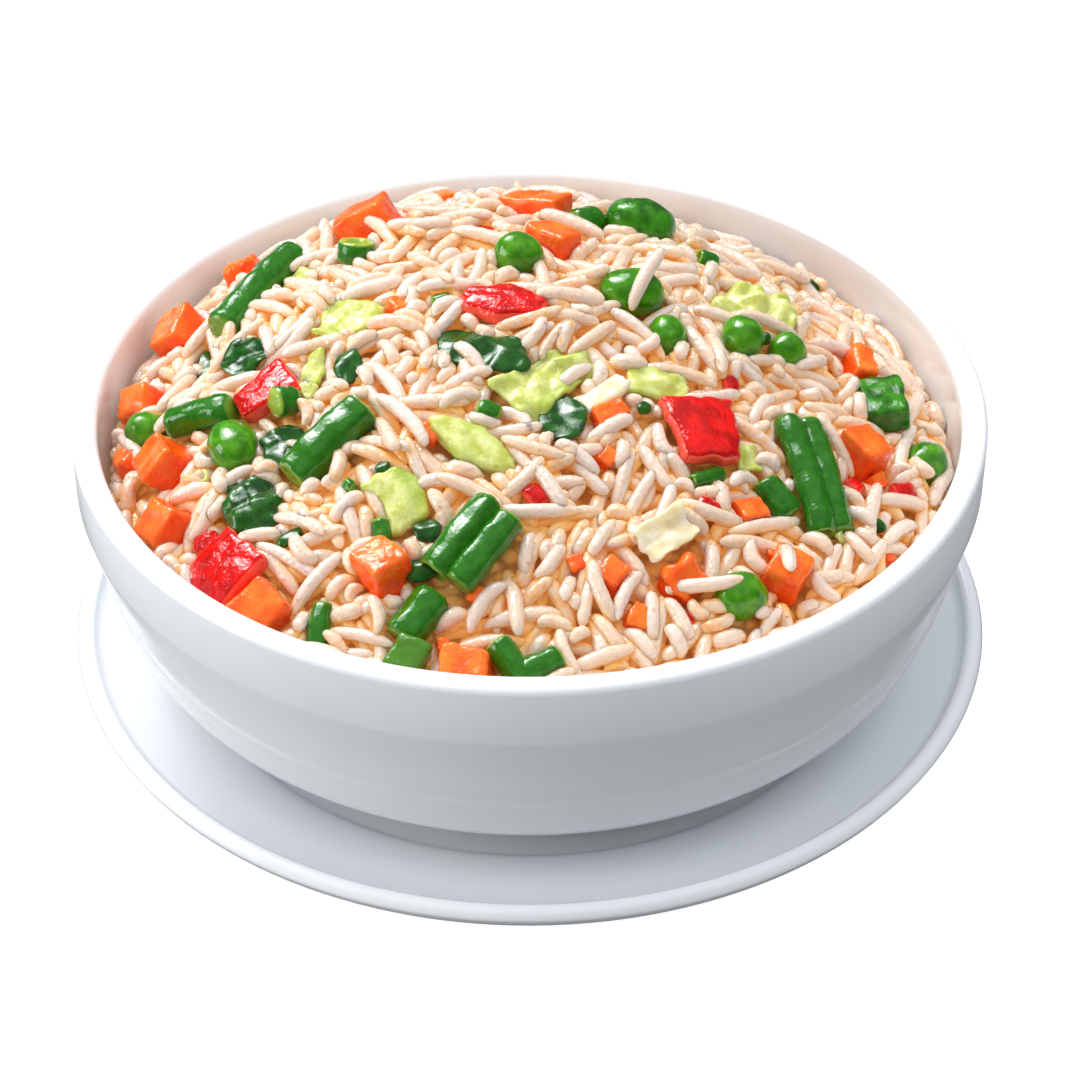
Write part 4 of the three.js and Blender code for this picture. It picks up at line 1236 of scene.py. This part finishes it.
def drop_grains(rice, studio, toppings, clear):
    """Drops grains one by one on a map of heights, where it is lowest, each turned the way it lies lowest.
    The ground is rice and toppings; the short grains at the end, the fillers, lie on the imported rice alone
    and may lie under a topping. Returns for each grain its middle, heading, slope, length, width, tone,
    stain and roll, and the smoothed surface that they make."""
    draw = np.random.default_rng(rice.seed)
    base = heap_height(MAP_X, MAP_Y)
    packed = base - CORE_DEPTH
    ground = np.maximum(packed, np.where(eroded(toppings > 0, PRESS_CELLS), toppings, 0))
    guarded = toppings > base + TOPPING_SHOWS
    length_mean, width_mean = rice.grain_length / MM, rice.grain_width / MM
    grains = []
    for number in range(rice.tries + rice.fillers):
        if number == int(LOWER_LAYER * rice.tries):
            grains += lay_seen_grains(studio, width_mean, draw, ground, packed, clear)
        filler = number >= rice.tries
        i, j, x, y = lowest_spot(draw, ground, base, FILLER_SPOTS if filler else SPOTS)
        length = random_length(draw, length_mean, filler)
        width = width_mean * draw.uniform(0.88, 1.12)
        cap = draw.uniform(*(FILLER_CAP if filler else CAP))
        cover = WIDE_COVER if draw.random() < WIDE_COVER_SHARE else COVER
        window = map_window(x, y, length)
        away_x, away_y = MAP_X[window] - x, MAP_Y[window] - y
        patch = packed[window] if filler else ground[window]
        chosen = None
        for attempt, heading in enumerate(draw.uniform(0, math.pi, HEADINGS)):
            if attempt == FULL_HEADINGS:
                if chosen is not None:
                    break
                length = min(length, draw.uniform(*SHORTENED))
            run_x, run_y = math.cos(heading) * length / 2, math.sin(heading) * length / 2
            if max(math.hypot(x + side * run_x, y + side * run_y) for side in (-1, 1)) > GRAIN_REACH:
                continue
            inside, t, thick = footprint(away_x, away_y, heading, length, width)
            over = guarded[window][inside]
            covered = over.mean()
            if covered > (FILLER_UNDER if filler else cover):
                continue
            if not filler and clear[window][inside].any():
                continue
            level, slope = resting_grain(patch, inside, t, thick, length)
            top = level + slope * t * length / 2 + thick
            if filler and (over & (top > toppings[window][inside])).any():
                continue
            allowed = base[i, j] + cap + (OVER_EDGE if covered > 0.05 and not filler else 0)
            if abs(slope) < STEEPEST and 0 < level < allowed and (chosen is None or level < chosen[0]):
                chosen = (level, slope, heading, length, inside, top)
        if chosen is None:
            continue
        level, slope, heading, length, inside, top = chosen
        grains.append((x, y, level, heading, slope, length, width,
                       draw.random(), draw.random(), draw.uniform(-1, 1)))
        raise_maps((ground, packed), window, inside, top)
    return grains, smoothed(ground, 3)


def grains_mesh(name, grains, shapes, surface):
    """All grains of one kind as a mesh made from arrays. Each point holds its grain's tone and stain, and
    how deep it lies between the grains, which sets its painted shade and painted glow, as one vector."""
    draw = np.random.default_rng(len(grains))
    all_points, all_faces, all_looks = [], [], []
    offset = 0
    for x, y, level, heading, slope, length, width, tone, stain, roll in grains:
        points, faces = shapes[draw.integers(len(shapes))]
        size = np.array([length / 2, width / 2, width / 2])
        along = Vector((math.cos(heading), math.sin(heading), slope)).normalized()
        across = Vector((0, 0, 1)).cross(along).normalized()
        turn = Matrix((along, across, along.cross(across))).transposed()
        turn = turn @ Matrix.Rotation(roll, 3, "X")
        if draw.random() < 0.5:
            turn = turn @ Matrix.Rotation(math.pi, 3, "Z")
        placed = (points * size) @ np.array(turn).T + np.array([x, y, level])
        looks = np.empty_like(placed)
        looks[:, 0] = tone
        looks[:, 1] = stain
        cells = ((placed[:, :2] + MAP_REACH) / MAP_STEP).round().astype(int).clip(0, MAP_CELLS - 1)
        under = surface[cells[:, 0], cells[:, 1]] - placed[:, 2] + 0.5
        looks[:, 2] = np.clip(under / SHADE_DEPTH, 0, 1)
        all_points.append(placed)
        all_faces.append(faces + offset)
        all_looks.append(looks)
        offset += len(points)
    mesh = bpy.data.meshes.new(name)
    mesh.from_pydata(np.concatenate(all_points) * MM, [], np.concatenate(all_faces).tolist())
    attribute = mesh.attributes.new("grain_look", "FLOAT_VECTOR", "POINT")
    attribute.data.foreach_set("vector", np.concatenate(all_looks).astype(np.float32).ravel())
    return mesh


def grain_kind(tone, stain):
    """Kind of a grain by its two draws."""
    if stain > STAINED_FROM:
        return "stained"
    if tone > WARM_FROM:
        return "warm"
    return "cream" if tone > CREAM_FROM else "pale"


def core_shape():
    """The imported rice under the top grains: turned to fill the bowl, then raised to the heap's form."""
    wall = [(0, 10.5), (40, 10.5), (58, 12.1), (69, 17.6), (77.6, 26.6), (81.8, 36.6), (84.2, 44),
            (CORE_RADIUS, EDGE - 6)]
    rings = [(CORE_RADIUS * (1 - i / 60), EDGE + 10) for i in range(0, 61)]
    shape = turned([(r, 0, z) for r, z in [*smooth_line(wall, 3), *rings]], (0, 0, 1), 120)

    def place(p):
        if p.z < EDGE + 9:
            return p
        lump = 0.9 * noise.noise(Vector((p.x, p.y, 0)) / 2.6)
        return Vector((p.x, p.y, float(heap_height(p.x, p.y)) - CORE_DEPTH + lump))

    return moved(shape, place)


class FRIEDRICE_OT_rice(bpy.types.Operator):
    """Packed rice and the loose grains on top of it"""

    bl_idname = "fried_rice.rice"
    bl_label = "Rice"

    def execute(self, context):
        rice = context.scene.fried_rice.rice
        add_piece("packed_rice", core_shape(), packed_rice_material(rice), "rice", "rice_heap")
        look = rice_material(rice)
        shapes = [grain_arrays(seed) for seed in range(GRAIN_FORMS)]
        grains, surface = drop_grains(rice, context.scene.fried_rice.studio, *topping_map())
        kinds = {kind: [] for kind in GRAIN_KINDS}
        for *place, tone, stain, roll in grains:
            kind = grain_kind(tone, stain)
            strength = 0.2 + 3.5 * (stain - STAINED_FROM) if kind == "stained" else 0.0
            kinds[kind].append((*place, tone, min(1.0, strength), roll))
        for kind, members in kinds.items():
            mesh = grains_mesh(kind, members, shapes, surface)
            add_mesh_piece(f"rice_grains_{kind}", mesh, look, "rice", "rice_heap")
        return {"FINISHED"}


# Studio

KEY_PLACE = (-0.38, 0.52, 0.78)
SIDE_PLACE = (-0.78, -0.15, 0.24)
LIGHTS_AIM = (0, 0, 0.05)
CEILING_TOWARDS = (-0.05, 0.1, 0.99)
CEILING_EDGE = (0.4, 0.92)       # cosines between which the ceiling's light fades to the walls'
SPARKLE_EDGE = (0.914, 0.946)    # the same for the softbox's edge in the gloss


def add_softbox(name, place, size, power):
    """A softbox at a place in metres, aimed at the bowl."""
    light = bpy.data.lights.new(name, "AREA")
    light.shape = "RECTANGLE"
    light.size, light.size_y = size
    light.energy = power
    lamp = bpy.data.objects.new(name, light)
    lamp.location = place
    lamp.rotation_euler = (Vector(LIGHTS_AIM) - Vector(place)).to_track_quat("-Z", "Y").to_euler()
    bpy.context.scene.collection.objects.link(lamp)


def room_light(studio):
    """A white room that is brighter overhead than at its walls. Gloss shows it dimmer, apart from the key
    softbox, as in a studio with dark cloth around the lights, and seen directly it is a plain backdrop."""
    world = bpy.data.worlds.new("room")
    world.use_nodes = True
    tree = world.node_tree
    ray = add_node(tree, "ShaderNodeTexCoord").outputs["Generated"]
    height = add_node(tree, "ShaderNodeVectorMath", {"operation": "DOT_PRODUCT"}, {
        0: ray, 1: CEILING_TOWARDS}).outputs["Value"]
    strength = mapped(tree, height, *CEILING_EDGE, studio.wall_light, studio.ceiling_light)
    rays = add_node(tree, "ShaderNodeLightPath").outputs
    towards_key = add_node(tree, "ShaderNodeVectorMath", {"operation": "DOT_PRODUCT"}, {
        0: ray, 1: Vector(KEY_PLACE).normalized()}).outputs["Value"]
    softbox = mapped(tree, towards_key, *SPARKLE_EDGE, 0.0, studio.sparkle)
    mirrored = add_node(tree, "ShaderNodeMath", {"operation": "MULTIPLY_ADD"}, {
        0: strength, 1: studio.mirrored, 2: softbox}).outputs[0]
    lit = add_node(tree, "ShaderNodeMix", inputs={0: rays["Is Glossy Ray"], 2: strength, 3: mirrored})
    seen = add_node(tree, "ShaderNodeMix", inputs={
        0: rays["Is Camera Ray"], 2: lit.outputs[0], 3: studio.backdrop})
    set_inputs(tree, tree.nodes["Background"], {"Color": linear("#f8fbff"), "Strength": seen.outputs[0]})
    return world


class FRIEDRICE_OT_studio(bpy.types.Operator):
    """Pale floor, soft light and the camera at the photograph's angle"""

    bl_idname = "fried_rice.studio"
    bl_label = "Studio"

    def execute(self, context):
        scene = context.scene
        studio = scene.fried_rice.studio
        camera = bpy.data.objects.new("camera", bpy.data.cameras.new("camera"))
        camera.data.lens = studio.lens
        camera.data.sensor_width = SENSOR
        place, turn = camera_frame(studio)
        camera.matrix_world = Matrix.Translation(place * MM) @ turn.to_4x4()
        scene.collection.objects.link(camera)
        scene.camera = camera

        shape = bmesh.new()
        bmesh.ops.create_grid(shape, x_segments=1, y_segments=1, size=4.0)
        mesh = bpy.data.meshes.new("floor")
        shape.to_mesh(mesh)
        shape.free()
        material, tree, shader = new_material("white_floor")
        seen = add_node(tree, "ShaderNodeLightPath").outputs["Is Camera Ray"]
        set_inputs(tree, shader, {
            "Base Color": linear("#8c8c8c"), "Roughness": 0.9, "Specular IOR Level": 0.0,
            "Emission Color": linear("#ffffff"),
            "Emission Strength": mapped(tree, seen, 0.0, 1.0, 0.0, studio.floor_glow)})
        mesh.materials.append(material)
        floor = bpy.data.objects.new("floor", mesh)
        floor.location = (0, 0, -0.0002)
        scene.collection.objects.link(floor)

        add_softbox("key_softbox", KEY_PLACE, (0.36, 0.34), studio.key_power)
        add_softbox("left_softbox", SIDE_PLACE, (0.4, 0.4), studio.side_power)
        scene.world = room_light(studio)
        scene.view_settings.view_transform = "Standard"
        return {"FINISHED"}


class FRIEDRICE_PT_panel(bpy.types.Panel):
    """Buttons for the pieces of the fried rice bowl"""

    bl_idname = "FRIEDRICE_PT_panel"
    bl_label = "Fried rice bowl"
    bl_space_type = "VIEW_3D"
    bl_region_type = "UI"
    bl_category = "Fried rice"

    def draw(self, context):
        settings = context.scene.fried_rice
        for group in (settings.dishes, settings.rice, settings.vegetables, settings.studio):
            box = self.layout.box()
            for name in group.__annotations__:
                box.prop(group, name)
        for operator in OPERATORS:
            self.layout.operator(operator.bl_idname)


OPERATORS = (FRIEDRICE_OT_studio, FRIEDRICE_OT_dishes, FRIEDRICE_OT_vegetables, FRIEDRICE_OT_bits,
             FRIEDRICE_OT_rice)
CLASSES = (DishSettings, RiceSettings, VegetableSettings, StudioSettings, FriedRiceSettings,
           *OPERATORS, FRIEDRICE_PT_panel)


def register():
    for entry in CLASSES:
        bpy.utils.register_class(entry)
    bpy.types.Scene.fried_rice = PointerProperty(type=FriedRiceSettings)


def unregister():
    del bpy.types.Scene.fried_rice
    for entry in reversed(CLASSES):
        bpy.utils.unregister_class(entry)


def main():
    """Makes every piece in order."""
    register()
    bpy.ops.fried_rice.studio()
    bpy.ops.fried_rice.dishes()
    bpy.ops.fried_rice.vegetables()
    bpy.ops.fried_rice.bits()
    bpy.ops.fried_rice.rice()


if __name__ == "__main__":
    main()
